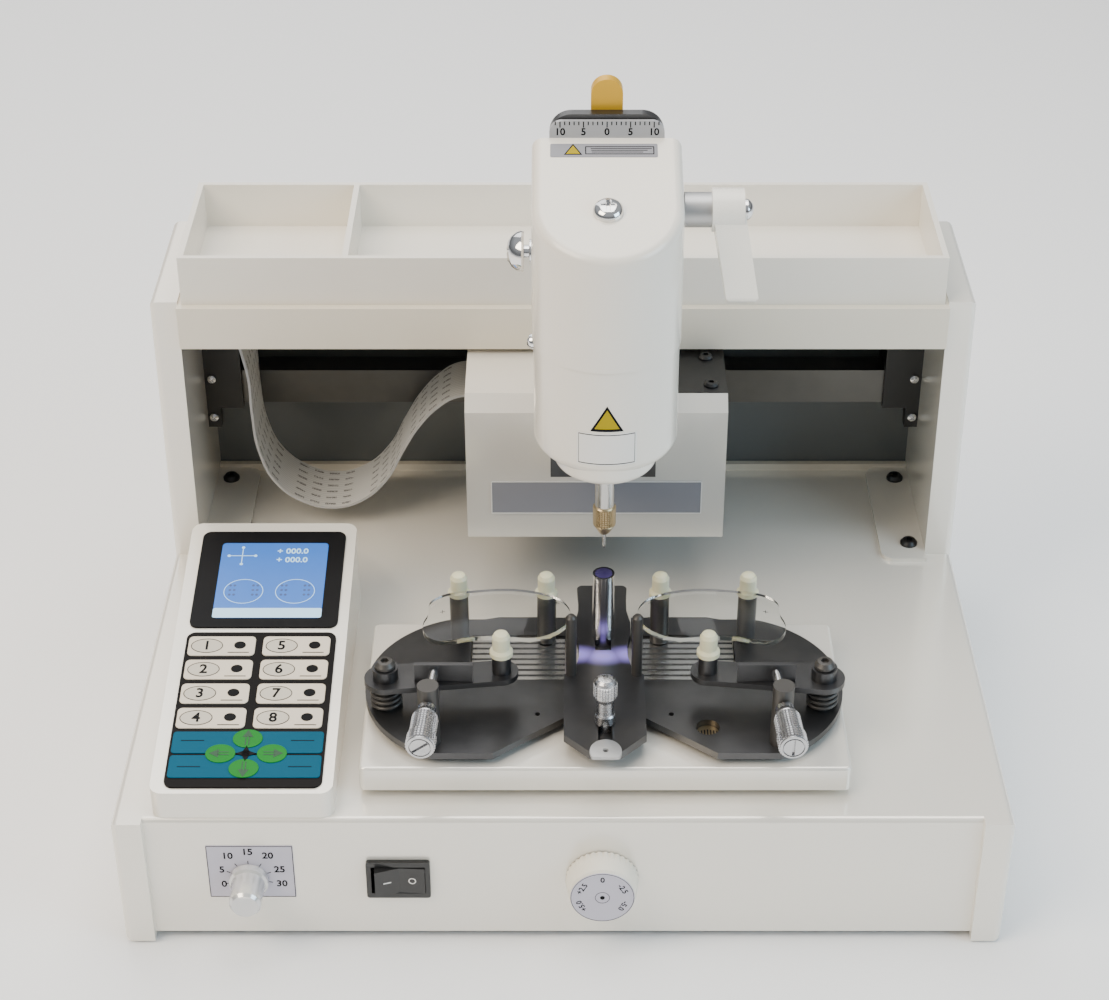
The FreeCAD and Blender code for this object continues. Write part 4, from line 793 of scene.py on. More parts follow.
KEY_SHADE = Finish("key_shade", (0.58, 0.53, 0.44), 0.42, Grain.PRINTED, tint=(0.42, 0.38, 0.3), amount=0.3)
KEY_BLUE = Finish("key_blue", (0.0, 0.085, 0.15), 0.45, Grain.PRINTED, tint=(0.0, 0.065, 0.12), amount=0.4, ior=1.2)
KEY_GREEN = Finish("key_green", (0.004, 0.2, 0.02), 0.45, Grain.PRINTED, tint=(0.003, 0.14, 0.015), amount=0.4,
                   ior=1.25)
INK = Finish("black_ink", (0.005, 0.005, 0.006), 0.5, Grain.PRINTED, tint=(0.012, 0.012, 0.012), amount=0.3, ior=1.2)
DARK_GREEN_INK = Finish("green_ink", (0.002, 0.05, 0.012), 0.5, Grain.PRINTED, tint=(0.006, 0.08, 0.02), amount=0.3)
SCREEN_BLUE = Backlit("screen_blue", (0.02, 0.13, 0.5), 0.3, Grain.PRINTED, coat=0.1, tint=(0.04, 0.18, 0.58),
                      amount=0.5, strength=0.42)
SCREEN_PALE = Backlit("screen_pale", (0.42, 0.66, 0.86), 0.3, Grain.PRINTED, tint=(0.36, 0.6, 0.84), amount=0.4,
                      strength=0.6)
SCREEN_DOT = Finish("screen_dot", (0.05, 0.09, 0.26), 0.35, Grain.PRINTED, tint=(0.08, 0.14, 0.36), amount=0.4)
LABEL_LILAC = Finish("label_lilac", (0.52, 0.5, 0.58), 0.45, Grain.PRINTED, coat=0.1, tint=(0.45, 0.43, 0.5),
                     amount=0.3)
LABEL_WHITE = Finish("label_white", (0.82, 0.8, 0.76), 0.4, Grain.PRINTED, coat=0.2, tint=(0.72, 0.69, 0.62),
                     amount=0.3)
LABEL_YELLOW = Finish("label_yellow", (0.4, 0.3, 0.0), 0.5, Grain.PRINTED, tint=(0.34, 0.25, 0.0),
                      amount=0.3, ior=1.25)
LABEL_GREY = Finish("label_grey", (0.24, 0.24, 0.265), 0.5, Grain.PRINTED, tint=(0.2, 0.2, 0.215),
                    amount=0.3)
SCALE_GREY = Finish("scale_grey", (0.45, 0.45, 0.465), 0.4, Grain.BRUSHED, metal=0.3, tint=(0.36, 0.36, 0.375),
                    amount=0.4)
BOARD_GREEN = Finish("board_green", (0.015, 0.12, 0.04), 0.4, Grain.PRINTED, tint=(0.03, 0.2, 0.06), amount=0.4)
LENS_CLEAR = Finish("lens_clear", (0.985, 0.995, 0.99), 0.015, Grain.CLEAR, clear=1.0, amount=0.0, ior=1.22)
RIBBON_GREY = PrintedRibbon("ribbon_grey", (0.66, 0.66, 0.64), 0.45, Grain.PRINTED, tint=(0.5, 0.5, 0.48),
                            amount=0.3)
LIT_STEEL = LampLit("lit_steel", (0.66, 0.65, 0.66), 0.18, Grain.TURNED, metal=1.0, tint=(0.36, 0.35, 0.36),
                    amount=0.4, strength=2.4, places=((0.0137, -0.0292, 0.0935),), squeeze=(1, 1, 0.42),
                    reach=0.0034)
LIT_PLATE = LampLit("lit_plate", (0.075, 0.075, 0.08), 0.33, Grain.BRUSHED, metal=0.85, tint=(0.15, 0.147, 0.145),
                    amount=0.55, specks=0.25, strength=1.1,
                    places=((0.0047, -0.0395, 0.072), (0.0227, -0.0395, 0.072), (0.0137, -0.0405, 0.072)),
                    squeeze=(0.75, 1.25, 0.4), reach=0.0078)


CAD_FINISHES: dict[str, Finish] = {
    "base_shell": CREAM_PAINT, "side_panels": CREAM_PAINT, "rear_frame": FRAME_PAINT_AND_WALL_SHADE, "foot_flanges": CREAM_PAINT,
    "pod_case": CREAM_PAINT, "carriage_cover": CREAM_PAINT, "table_plate": CREAM_PAINT, "parts_tray": TRAY_PLASTIC,
    "head_upper_shell": HEAD_PAINT, "head_lower_shell": HEAD_PAINT, "feed_lever": LEVER_PLASTIC,
    "bottom_cover": BLACK_PAINT, "rail_brackets": BLACK_PAINT, "frame_screws": BLACK_PAINT,
    "carriage_block": BLACK_PAINT, "carriage_screws": BLACK_PAINT, "slide_plate": BLACKENED,
    "wing_plates": BLACKENED, "centre_plate": LIT_PLATE, "left_jaw": BLACKENED, "right_jaw": BLACKENED,
    "y_motor": MOTOR_BLACK, "x_motor": MOTOR_BLACK, "guide_rails": RAIL_STEEL, "x_lead_screw": STEEL,
    "y_lead_screw": STEEL, "spindle_motor": SATIN_CHROME, "spindle_shaft": STEEL, "drill_bit": STEEL,
    "feed_shaft": CAST_ALUMINIUM, "springs": DARK_STEEL, "table_posts": DARK_STEEL, "left_spindle": SATIN_CHROME,
    "right_spindle": SATIN_CHROME, "light_tube": LIT_STEEL, "ribbed_beds": RIBBED_ALUMINIUM,
    "table_slider": CAST_ALUMINIUM, "tilt_scale": SCALE_GREY, "depth_knob": CLEAR_KNOB_AND_HIGHLIGHT, "dial_knob": KNOB_PLASTIC,
    "x_rotor_nut": NUT_BRASS, "rubber_feet": BLACK_RUBBER, "peg_caps": CAP_RUBBER, "left_jaw_cap": CAP_RUBBER,
    "right_jaw_cap": CAP_RUBBER, "tilt_pointer": YELLOW_PAINT, "switch_bezel": BLACK_PLASTIC,
    "power_rocker": BLACK_PLASTIC, "power_inlet": BLACK_PLASTIC, "keypad_film": FILM_BLACK,
    "pod_display": WINDOW_BLACK, "control_board": BOARD_GREEN, "demo_lenses": LENS_CLEAR,
}


# ---------------------------------------------------------------- sub-assemblies

@dataclass
class SubAssembly:
    """Pieces of one part of the machine, and the body that they ride on."""

    body: str
    slot: str = "dark_steel"
    made: list[str] = field(default_factory=list)

    def fit(self, piece: Piece, finish: Finish, body: Optional[str] = None, slot: Optional[str] = None,
            stands_for: Sequence[str] = ()) -> Piece:
        """Dress a finished piece and fix it to its body.

        Args:
            piece: the piece, in its place.
            finish: its finish.
            body: the body it rides on, if not the sub-assembly's own.
            slot: not used.
            stands_for: CAD nodes that it replaces.

        Returns:
            The piece.
        """
        piece.data.materials.clear()
        piece.data.materials.append(finish.material())
        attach(piece, body or self.body)
        if stands_for:
            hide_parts(*stands_for)
        self.made.append(piece.name)
        LOG.info("%-22s rides on %-14s %5d faces", piece.name, body or self.body, len(piece.data.polygons))
        return piece

    def build(self) -> None:
        """Make the pieces; each sub-assembly has its own."""
        raise NotImplementedError


@dataclass
class ControlPod(SubAssembly):
    """The keypad and the display on the sloping pod."""

    body: str = "frame"
    slot: str = "keypad"
    front: float = -101.5
    foot: float = 62.0
    rise: float = 21 / 125
    skin: float = 0.69
    key_size: Pair = (22.8, 8.9)
    key_columns: Pair = (-116.1, -90.7)
    key_first: float = -37.0
    key_pitch: float = 10.7
    pad_middle: Pair = (-103.1, -84.4)
    screen_middle: Pair = (-102.2, -5.6)
    screen_size: Pair = (37.6, 36.8)

    def at(self, x: float, y: float, lift: float = 0.0, turn: float = 0.0) -> Matrix:
        """Place on the slope, over a point of the bench."""
        lean = math.atan(self.rise)
        slope = Surface((0, self.front, self.foot), up=(0, math.cos(lean), math.sin(lean)))
        return slope.matrix(x, (y - self.front) / math.cos(lean), self.skin + lift, turn)

    def build(self) -> None:
        """Keys, arrows and display."""
        self.numbered_keys()
        self.arrow_pad()
        self.display()

    def numbered_keys(self) -> None:
        """Eight cream keys, each with a lens outline, its numeral, a dot and a rule."""
        keys: list[Piece] = []
        shapes: list[Piece] = []
        marks: list[Piece] = []
        for i in range(8):
            x = self.key_columns[i // 4]
            y = self.key_first - (i % 4) * self.key_pitch
            keys.append(Bench.plate("key", self.at(x, y, -0.05), self.key_size, 0.4, 1.6, 0.15))
            shapes.append(Bench.disc("shape", self.at(x - 5.0, y, 0.3), 5.3, 0.1, 28, squeeze=0.58))
            marks.append(Bench.ring("outline", self.at(x - 5.0, y, 0.36), 5.45, 0.26, 0.6, 0.07))
            marks.append(Bench.figures("numeral", self.at(x - 5.0, y, 0.42), str(i + 1), 5.6))
            marks.append(Bench.disc("dot", self.at(x + 6.2, y + 0.3, 0.33), 2.0, 0.12, 20, squeeze=0.86))
            marks.append(Bench.plate("rule", self.at(x + 5.9, y - 3.0, 0.33), (7.2, 0.35), 0.06))
        self.fit(Bench.joined("number_keys", keys), KEY_CREAM)
        self.fit(Bench.joined("key_lens_shapes", shapes), KEY_SHADE)
        self.fit(Bench.joined("key_marks", marks), INK)

    def arrow_pad(self) -> None:
        """Two blue panels with four green arrow keys round a black star."""
        x, y = self.pad_middle
        blues = [Bench.plate("blue", self.at(x + 0.1, y + rise, -0.05), (49.4, high), 0.36, 1.2, 0.1)
                 for rise, high in ((4.9, 9.3), (-5.2, 9.5))]
        self.fit(Bench.joined("arrow_pad_panels", blues), KEY_BLUE)
        discs: list[Piece] = []
        arrows: list[Piece] = []
        for dx, dy, turn in ((0, 6.3, 0), (-8.3, 0, 90), (8.5, 0, -90), (-0.1, -6.2, 180)):
            discs.append(Bench.disc("arrow", self.at(x + dx, y + dy, 0.28), 4.9, 0.32, 40, 0.1, 0.8))
            place = self.at(x + dx, y + dy, 0.6, turn)
            arrows.append(Bench.disc("tip", place @ Matrix.Translation((0, 1.6 * MM, 0)), 2.1, PRINT_THICK, 3))
            arrows += [Bench.plate("shaft", place @ Matrix.Translation((shift * MM, -0.9 * MM, 0)), (0.42, 3.8),
                                   PRINT_THICK) for shift in (-0.55, 0.55)]
        self.fit(Bench.joined("arrow_keys", discs), KEY_GREEN)
        self.fit(Bench.joined("arrow_marks", arrows), DARK_GREEN_INK)
        star = [Bench.disc("star", self.at(x, y, 0.3, turn), 3.4, 0.3, 4, squeeze=0.42) for turn in (0, 90)]
        rules = [Bench.plate("rule", self.at(x + sx, y + sy, 0.33), (7.6, 0.3), 0.05)
                 for sx, sy in ((-18, 5.6), (18, 5.6), (-18, -5.4), (18, -5.4))]
        self.fit(Bench.joined("pad_star_and_rules", star + rules), INK)

    def display(self) -> None:
        """The blue screen: crosshair, two numbers, two lens outlines with dots, and a pale bar."""
        x, y = self.screen_middle
        screen = Bench.plate("screen", self.at(x, y, -0.02), self.screen_size, 0.22, 1.4)
        self.fit(screen, SCREEN_BLUE, slot="display")
        pale = [Bench.plate("bar", self.at(x, y - 15.9, 0.2), (self.screen_size[0], 4.6), 0.06, 0.8),
                Bench.plate("level", self.at(x - 11.3, y + 11.8, 0.2), (9.4, 0.3), 0.05),
                Bench.plate("plumb", self.at(x - 11.3, y + 11.8, 0.2), (0.3, 8.2), 0.05)]
        for dx, dy in ((-4.7, 0), (4.7, 0), (0, 4.1), (0, -4.1)):
            pale.append(Bench.disc("tip", self.at(x - 11.3 + dx, y + 11.8 + dy, 0.2), 0.6, 0.06, 12))
        for dy in (14.0, 9.7):
            pale.append(Bench.figures("number", self.at(x + 6.4, y + dy, 0.22), "+ 000.0", 3.6))
        dots: list[Piece] = []
        for side in (-9.2, 8.8):
            pale.append(Bench.ring("lens", self.at(x + side, y - 5.6, 0.2), 6.9, 0.22, 0.86, 0.05))
            for group in (-4.0, 4.0):
                for column in (-0.75, 0.75):
                    for row in (-2.2, 0.0, 2.2):
                        dots.append(Bench.disc("dot", self.at(x + side + group + column, y - 5.0 + row, 0.2), 0.5,
                                               0.05, 10))
        self.fit(Bench.joined("screen_marks", pale), SCREEN_PALE, slot="display")
        self.fit(Bench.joined("screen_dots", dots), SCREEN_DOT, slot="display")


@dataclass
class FrontPanel(SubAssembly):
    """Scales and marks of the front controls."""

    body: str = "frame"
    slot: str = "display"
    panel: float = -101.0
    knob_height: float = 26.7
    depth_x: float = -103.0
    dial_x: float = 12.8
    dial_face: float = -110.0
    rocker_x: float = -54.0

    def build(self) -> None:
        """Depth scale, dial face and rocker marks."""
        self.depth_scale()
        self.dial_numbers()
        self.rocker_marks()

    def depth_scale(self) -> None:
        """The printed plate behind the depth knob, numbered 0 to 30."""
        panel = Surface((0, self.panel, 0))
        plate = Bench.plate("depth_scale_plate", panel.matrix(-102.2, 29.8), (28.4, 22.4), 0.25, 0.3)
        self.fit(plate, LABEL_LILAC)
        marks = [Bench.frame_line("edge", panel.matrix(-102.2, 29.8, 0.25), (28.2, 22.2), 0.22, 0.05, 0.3)]
        places = ((-8.4, -2.4), (-8.7, 3.9), (-6.5, 9.9), (0.1, 11.6), (6.7, 10.0), (10.2, 4.0), (10.6, -2.2))
        for number, (dx, dz) in zip(range(0, 35, 5), places):
            marks.append(Bench.figures("number", panel.matrix(self.depth_x + dx, self.knob_height + dz, 0.28),
                                       str(number), 3.7))
            turn = math.degrees(math.atan2(dz, dx))
            tick = panel.matrix(self.depth_x, self.knob_height, 0.25, turn) @ Matrix.Translation((7.2 * MM, 0, 0))
            marks.append(Bench.plate("tick", tick, (1.3, 0.28), 0.05))
        self.fit(Bench.joined("depth_scale_marks", marks), INK)

    def dial_numbers(self) -> None:
        """The grey face of the dial knob, with figures either side of 0."""
        face = Surface((self.dial_x, self.dial_face, self.knob_height))
        disc = Bench.disc("dial_face", face.matrix(lift=-0.02), 10.5, 0.3, 64, 0.1)
        self.fit(disc, LABEL_LILAC, "height_dial")
        printed = face.matrix(lift=0.28)
        marks = [Bench.ring("rim", printed, 10.35, 0.16), Bench.disc("dot", printed, 0.8, 0.08, 16),
                 Bench.ring("inner", printed, 2.4, 0.16)]
        for turn, words in ((0, "0"), (60, "+2.5"), (118, "+5.0"), (-60, "-2.5"), (-118, "-5.0")):
            place = face.matrix(lift=0.29, turn=turn) @ Matrix.Translation((0, 7.6 * MM, 0))
            marks.append(Bench.figures("number", place, words, 3.0 if words == "0" else 2.7))
        self.fit(Bench.joined("dial_marks", marks), INK, "height_dial")

    def rocker_marks(self) -> None:
        """A dash and a ring on the two halves of the power rocker."""
        left = Surface((-57.55, -103.82, 27.1), right=(0.9543, 0.2990, 0))
        right = Surface((-49.41, -102.82, 27.1), right=(0.9982, -0.0593, 0))
        marks = [Bench.plate("dash", left.matrix(lift=0.02), (2.6, 0.4), 0.08),
                 Bench.ring("ring", right.matrix(lift=0.02), 1.25, 0.3, thick=0.08, sides=24)]
        self.fit(Bench.joined("rocker_marks", marks), LABEL_WHITE, "power_switch")


@dataclass(frozen=True)
class DomeScrew:
    """A domed screw with crossed slots: rings of its head, and the sizes of the slots."""

    name: str
    profile: tuple[Pair, ...]
    slot_width: float = 1.0
    slot_depth: float = 1.2
    reach: float = 2.6

    def make(self, place: Matrix) -> Piece:
        """Turn the head and cut its slots.

        Returns:
            The screw, in its place.
        """
        screw = Bench.lathe(self.name, Matrix.Identity(4), self.profile, 40)
        top = self.profile[-1][1]
        sunk = Matrix.Translation((0, 0, (top - self.slot_depth) * MM))
        for turn in (45, 135):
            tool = Bench.block((self.reach * 2, self.slot_width, self.slot_depth * 2))
            spot = sunk @ Matrix.Rotation(math.radians(turn), 4, "Z")
            Bench.carve(screw, Bench.settle(tool, spot, "driver_slot"))
        Bench.soften(screw, 0.08, 1)
        Bench.smooth(screw, 30)
        return Bench.settle(screw, place, self.name)


@dataclass
class RearFrame(SubAssembly):
    """The bright screws that hold the rail brackets."""

    body: str = "frame"
    slot: str = "chrome"
    bracket_front: float = 91.0
    seats: tuple[Pair, ...] = ((133.2, 103.5), (133.6, 86.6))

    def build(self) -> None:
        """Two cross-recessed screws on each bracket."""
        front = Surface((0, self.bracket_front, 0))
        made = [DomeScrew("screw", ((1.9, -0.1), (1.9, 0.3), (1.6, 0.9), (0.9, 1.3), (0.1, 1.4)), slot_width=0.4,
                          slot_depth=0.6, reach=1.1).make(front.matrix(side * x, z))
                for side in (-1, 1) for x, z in self.seats]
        self.fit(Bench.joined("bracket_screws", made), CHROME)


@dataclass
class DrillHead(SubAssembly):
    """Labels, screws and the tilt scale of the drill head."""

    body: str = "drill_head"
    slot: str = "chrome"
    axis: Pair = (13.7, -29.2)
    radius: float = 23.5
    slope: float = 0.3187
    slope_front: float = 229.0
    lower_radius: float = 23.1
    rear: float = -1.5
    scale_top: float = 251.0

    def on_slope(self, x: float, y: float, lift: float = 0.0, turn: float = 0.0) -> Matrix:
        """Place on the sloping top of the head."""
        lean = math.atan(self.slope)
        z = self.slope_front + (y - (self.axis[1] - self.radius)) * self.slope
        surface = Surface((self.axis[0] + x, y, z), up=(0, math.cos(lean), math.sin(lean)))
        return surface.matrix(lift=lift, turn=turn)

    def build(self) -> None:
        """Screws, labels and scale."""
        self.screws()
        self.top_label()
        self.nose_label()
        self.tilt_marks()

    def screws(self) -> None:
        """The pan screw on the sloping top, the small side screw and the two dome screws at the sides."""
        pan = DomeScrew("pan_screw", ((4.75, -0.3), (4.75, 0.5), (4.5, 1.4), (3.7, 2.3), (2.4, 2.8), (0.2, 2.95)),
                        slot_width=1.1, slot_depth=1.5, reach=2.3).make(self.on_slope(0, self.axis[1] - 3.5, turn=45))
        west = Surface((self.axis[0] - self.lower_radius, self.axis[1] + 5.7, 185), right=(0, -1, 0))
        small = DomeScrew("side_screw", ((2.6, -0.2), (2.6, 0.4), (2.2, 1.3), (1.2, 2.0), (0.1, 2.2)),
                          slot_width=0.6, slot_depth=0.9, reach=1.3).make(west.matrix())
        self.fit(Bench.joined("head_cross_screws", [pan, small]), CHROME, stands_for=["head_screws"])
        lock_seat = Surface((self.axis[0] - self.radius, self.axis[1] + 9.7, 215), right=(0, -1, 0))
        lock = DomeScrew("lock_dome_screw", (
            (3.9, 0.02), (3.9, 0.7), (2.05, 0.75), (2.05, 2.4), (6.2, 2.45), (6.5, 3.2), (6.1, 4.6), (4.9, 6.3),
            (3.0, 7.5), (0.2, 8.0)), slot_width=1.3, slot_depth=1.9, reach=3.4).make(lock_seat.matrix())
        self.fit(lock, CHROME, "tilt_lock", stands_for=["lock_screw"])
        lever_seat = Surface((56.1, self.axis[1] + 11.7, 228.5), right=(0, 1, 0))
        cap = DomeScrew("lever_dome_screw", (
            (3.3, 0.02), (3.35, 1.2), (3.0, 1.75), (2.3, 2.45), (1.3, 2.95), (0.2, 3.1)), slot_width=0.6,
            slot_depth=0.25, reach=1.6).make(lever_seat.matrix())
        self.fit(cap, CHROME, "lever")

    def top_label(self) -> None:
        """A blank label along the rear edge of the sloping top, with a plain triangle."""
        y = -7.0
        self.fit(Bench.plate("top_label", self.on_slope(-1.0, y, 0.02), (33.4, 6.0), 0.12, 0.5), LABEL_GREY,
                 slot="display")
        tri = self.on_slope(-10.6, y - 0.35, 0.13)
        lines = [Bench.frame_line("box", self.on_slope(3.9, y, 0.13), (21.5, 3.6), 0.34, 0.04, 0.2),
                 Bench.disc("border", tri, 3.3, 0.05, 3)]
        lines += [Bench.plate("rule", self.on_slope(4.4 - 0.6 * i, y + 0.75 - 0.75 * i, 0.13),
                              (19 - 1.5 * i, 0.3), 0.04) for i in range(3)]
        self.fit(Bench.joined("top_label_lines", lines), INK, slot="display")
        self.fit(Bench.disc("top_label_triangle", self.on_slope(-10.6, y - 0.35, 0.17), 2.5, 0.05, 3),
                 LABEL_YELLOW, slot="display")

    def wrapped(self, name: str, span: Pair, half_width: float, lift: float, thick: float = 0.12) -> Piece:
        """A patch wrapped round the front of the lower shell.

        Args:
            name: the piece's name.
            span: lowest and highest height.
            half_width: half its width, along the curve.
            lift: gap to the shell.
            thick: thickness.

        Returns:
            The patch, left as a single sheet when thick is 0.
        """
        radius = self.lower_radius + lift
        Bench.clear()
        bpy.ops.mesh.primitive_cylinder_add(
            vertices=240, radius=radius * MM, depth=(span[1] - span[0]) * MM, end_fill_type="NOTHING",
            location=(self.axis[0] * MM, self.axis[1] * MM, (span[0] + span[1]) / 2 * MM))
        patch = Bench.bake_place(bpy.context.object)
        middle = Vector((self.axis[0] * MM, self.axis[1] * MM, 0))
        Bench.pick_faces(patch, lambda face: abs(math.atan2(face.center.x - middle.x, middle.y - face.center.y))
                         * radius > half_width)
        with Bench.shaping(patch):
            bpy.ops.mesh.delete(type="FACE")
        patch.name = name
        if thick:
            Bench.apply(patch, "SOLIDIFY", thickness=thick * MM, offset=1.0)
        return patch

    def triangle(self, name: str, low: float, size: float, lift: float) -> Piece:
        """A plain triangle wrapped round the shell: a patch cut by two slanting planes."""
        patch = self.wrapped(name, (low, low + size * 0.88), size / 2, lift, 0)
        tip = Vector((self.axis[0] * MM, 0, (low + size * 0.88) * MM))
        for side in (-1, 1):
            Bench.pick_faces(patch, lambda face: True)
            with Bench.shaping(patch):
                bpy.ops.mesh.bisect(plane_co=tip, plane_no=(side * 0.87, 0, 0.49), clear_outer=True)
        return Bench.apply(patch, "SOLIDIFY", thickness=0.05 * MM, offset=1.0)

    def nose_label(self) -> None:
        """A plain white label round the nose, with a plain yellow triangle above it."""
        self.fit(self.wrapped("nose_label", (156.4, 168.2), 9.7, 0.03), LABEL_WHITE, slot="display")
        border = [self.wrapped("b", span, 9.3, 0.13, 0.04) for span in ((156.8, 157.1), (167.5, 167.8))]
        for side in (-1, 1):
            strip = self.wrapped("b", (156.8, 167.8), 9.3, 0.13, 0)
            inner = self.axis[0] * MM + side * 8.75 * MM
            Bench.pick_faces(strip, lambda face: True)
            with Bench.shaping(strip):
                bpy.ops.mesh.bisect(plane_co=(inner, 0, 0), plane_no=(-side, 0, 0), clear_outer=True)
            border.append(Bench.apply(strip, "SOLIDIFY", thickness=0.04 * MM, offset=1.0))
        border.append(self.triangle("t", 168.9, 10.6, 0.03))
        self.fit(Bench.joined("nose_label_border", border), INK, slot="display")
        self.fit(self.triangle("nose_triangle", 169.9, 7.9, 0.09), LABEL_YELLOW, slot="display")

    def tilt_marks(self) -> None:
        """Ticks and numerals 10-5-0-5-10 along the top of the tilt scale."""
        face = Surface((self.axis[0], self.rear, self.scale_top))
        marks: list[Piece] = []
        for step in range(-11, 12):
            long = 2.0 if step % 5 == 0 else 1.2
            marks.append(Bench.plate("tick", face.matrix(step * 1.465, -long / 2 - 0.15, 0.01), (0.34, long), 0.05))
            if step % 5 == 0:
                marks.append(Bench.figures("number", face.matrix(step * 1.465, -3.7, 0.02), str(abs(step)), 3.3))
        self.fit(Bench.joined("tilt_scale_marks", marks), INK)


@dataclass
class Spindle(SubAssembly):
    """The knurled collet nut."""

    body: str = "spindle"
    slot: str = "brass"
    axis: Pair = (13.7, -29.2)
    foot: float = 115.3

    def build(self) -> None:
        """Turn the nut and knurl its band."""
        profile = [(1.5, 0), (1.75, 0.1), (3.5, 3.1), (3.75, 3.5), *Bench.rings(3.62, 3.7, 10.5, 9), (3.3, 10.9),
                   (3.2, 11.3)]
        nut = Bench.lathe("knurled_collet_nut", Matrix.Identity(4), profile, 28)
        Bench.knurl(nut, 3.7, 10.5, 0.22, 0.12)
        bore = Bench.disc("bore", Matrix.Translation((0, 0, -0.001)), 0.75, 3.0, 16)
        Bench.carve(nut, bore)
        Bench.smooth(nut, KNURL_CREASE)
        place = Matrix.Translation(Vector((*self.axis, self.foot)) * MM)
        self.fit(Bench.settle(nut, place, "knurled_collet_nut"), NUT_BRASS, stands_for=["collet_nut"])


@dataclass
class LensTable(SubAssembly):
    """Knurled thumbscrews, clamp knob, stop clip and small marks of the lens table."""

    body: str = "table"
    slot: str = "steel"
    middle: float = 13.7
    tip: Triple = (55.96, -66.36, 85.5)
    splay: float = 3.8
    clamp: Triple = (13.7, -76.0, 64.0)
    deck: float = 72.0
    lens_radius: float = 96.8
    lens_top: float = 93.6
    lens_out: float = 35.0
    lens_row: float = -43.8
    drill_marks: tuple[Pair, ...] = ((54.0, -42.0), (15.8, -36.5))

    def build(self) -> None:
        """Thumbscrews, knob, clip and marks."""
        for side, name in ((-1, "left"), (1, "right")):
            self.thumbscrew(side, name)
        self.clamp_knob()
        self.stop_clip()
        self.window()
        self.lens_marks()

    def thumbscrew(self, side: int, name: str) -> None:
        """A knurled thimble with a slotted screw set in its end."""
        lean = math.radians(self.splay) * side
        outward = Vector((math.sin(lean), -math.cos(lean), 0))
        across = Vector((math.cos(lean), math.sin(lean), 0))
        seat = Surface((self.middle + side * self.tip[0], self.tip[1], self.tip[2]), right=tuple(across))
        assert outward.dot(Vector(seat.right).cross(Vector(seat.up))) > 0.99
        profile = [(2.2, 19.6), (3.1, 19.7), (3.1, 21.5), (4.05, 24.0), *Bench.rings(3.9, 24.4, 33.0, 8),
                   (3.7, 33.15), (3.7, 33.5), *Bench.rings(4.4, 33.7, 38.3, 4), (4.35, 38.9), (3.6, 39.0),
                   (3.5, 38.5), (3.3, 38.5), (3.2, 39.0), (0.3, 39.0)]
        thimble = Bench.lathe("thimble", Matrix.Identity(4), profile, 28)
        Bench.knurl(thimble, 24.4, 33.0, 0.42, 0.2)
        Bench.knurl(thimble, 33.7, 38.3, 0.42, 0.2)
        slot = Bench.block((6.2, 0.9, 2.0))
        cut = Matrix.Translation((0, 0, 0.0381)) @ Matrix.Rotation(0.45 * side + 1.1, 4, "Z")
        Bench.carve(thimble, Bench.settle(slot, cut, "slot"))
        bore = Bench.disc("bore", Matrix.Translation((0, 0, 0.0185)), 1.6, 8.0, 24)
        Bench.carve(thimble, bore)
        Bench.smooth(thimble, KNURL_CREASE)
        self.fit(Bench.settle(thimble, seat.matrix(), name + "_knurled_thimble"), KNURLED_CHROME,
                 name + "_thumbscrew", stands_for=[name + "_thimble"])

    def clamp_knob(self) -> None:
        """The upright clamp knob: a collar, a waist and a knurled head."""
        profile = [(2, 0), (2, 8.4), (3.35, 8.5), (3.4, 8.9), (3.4, 11.8), (3.0, 12.4), (2.85, 13.0), (2.85, 17.4),
                   (3.3, 18.4), (3.6, 19.0), *Bench.rings(3.65, 19.4, 24.4, 5), (3.6, 24.6), (3.3, 25.4), (2.4, 26.1),
                   (1.2, 26.5), (0.2, 26.65)]
        knob = Bench.lathe("clamp", Matrix.Identity(4), profile, 26)
        Bench.knurl(knob, 19.4, 24.4, 0.28, 0.15)
        Bench.smooth(knob, KNURL_CREASE)
        place = Matrix.Translation(Vector(self.clamp) * MM)
        self.fit(Bench.settle(knob, place, "knurled_clamp_knob"), KNURLED_CHROME, "clamp", stands_for=["clamp_knob"])

    def stop_clip(self) -> None:
        """The small grey round-backed clip at the front of the centre plate, with its hole."""
        flat = Surface((self.middle, -91.6, self.deck))
        clip = Bench.disc("stop_clip", Matrix.Identity(4), 5.2, 1.1, 40, 0.15)
        square = Bench.block((12, 6, 4))
        Bench.carve(clip, Bench.settle(square, Matrix.Translation((0, -5.9 * MM, -0.001)), "square"))
        Bench.carve(clip, Bench.disc("eye", Matrix.Translation((0, 0.3 * MM, -0.001)), 0.9, 4, 20))
        Bench.smooth(clip, 30)
        lean = Matrix.Translation(Vector(flat.origin) * MM) @ Matrix.Rotation(math.radians(6), 4, "X")
        self.fit(Bench.settle(clip, lean, "stop_clip"), CAST_ALUMINIUM, slot="aluminium")

    def window(self) -> None:
        """The graduated brass plate in the right wing's round window."""
        seat = Surface((self.middle + 33.8, -74.8, 66.6), up=(0, 1, 0))
        self.fit(Bench.disc("window_brass", seat.matrix(lift=-1.5), 3.8, 1.6, 32), NUT_BRASS, slot="brass")
        bars = [Bench.plate("bar", seat.matrix(-3.0 + 1.0 * i, -0.6, 0.1), (0.42, 4.4 - 0.5 * abs(i - 3)), 0.06)
                for i in range(7)]
        self.fit(Bench.joined("window_marks", bars), INK, slot="brass")

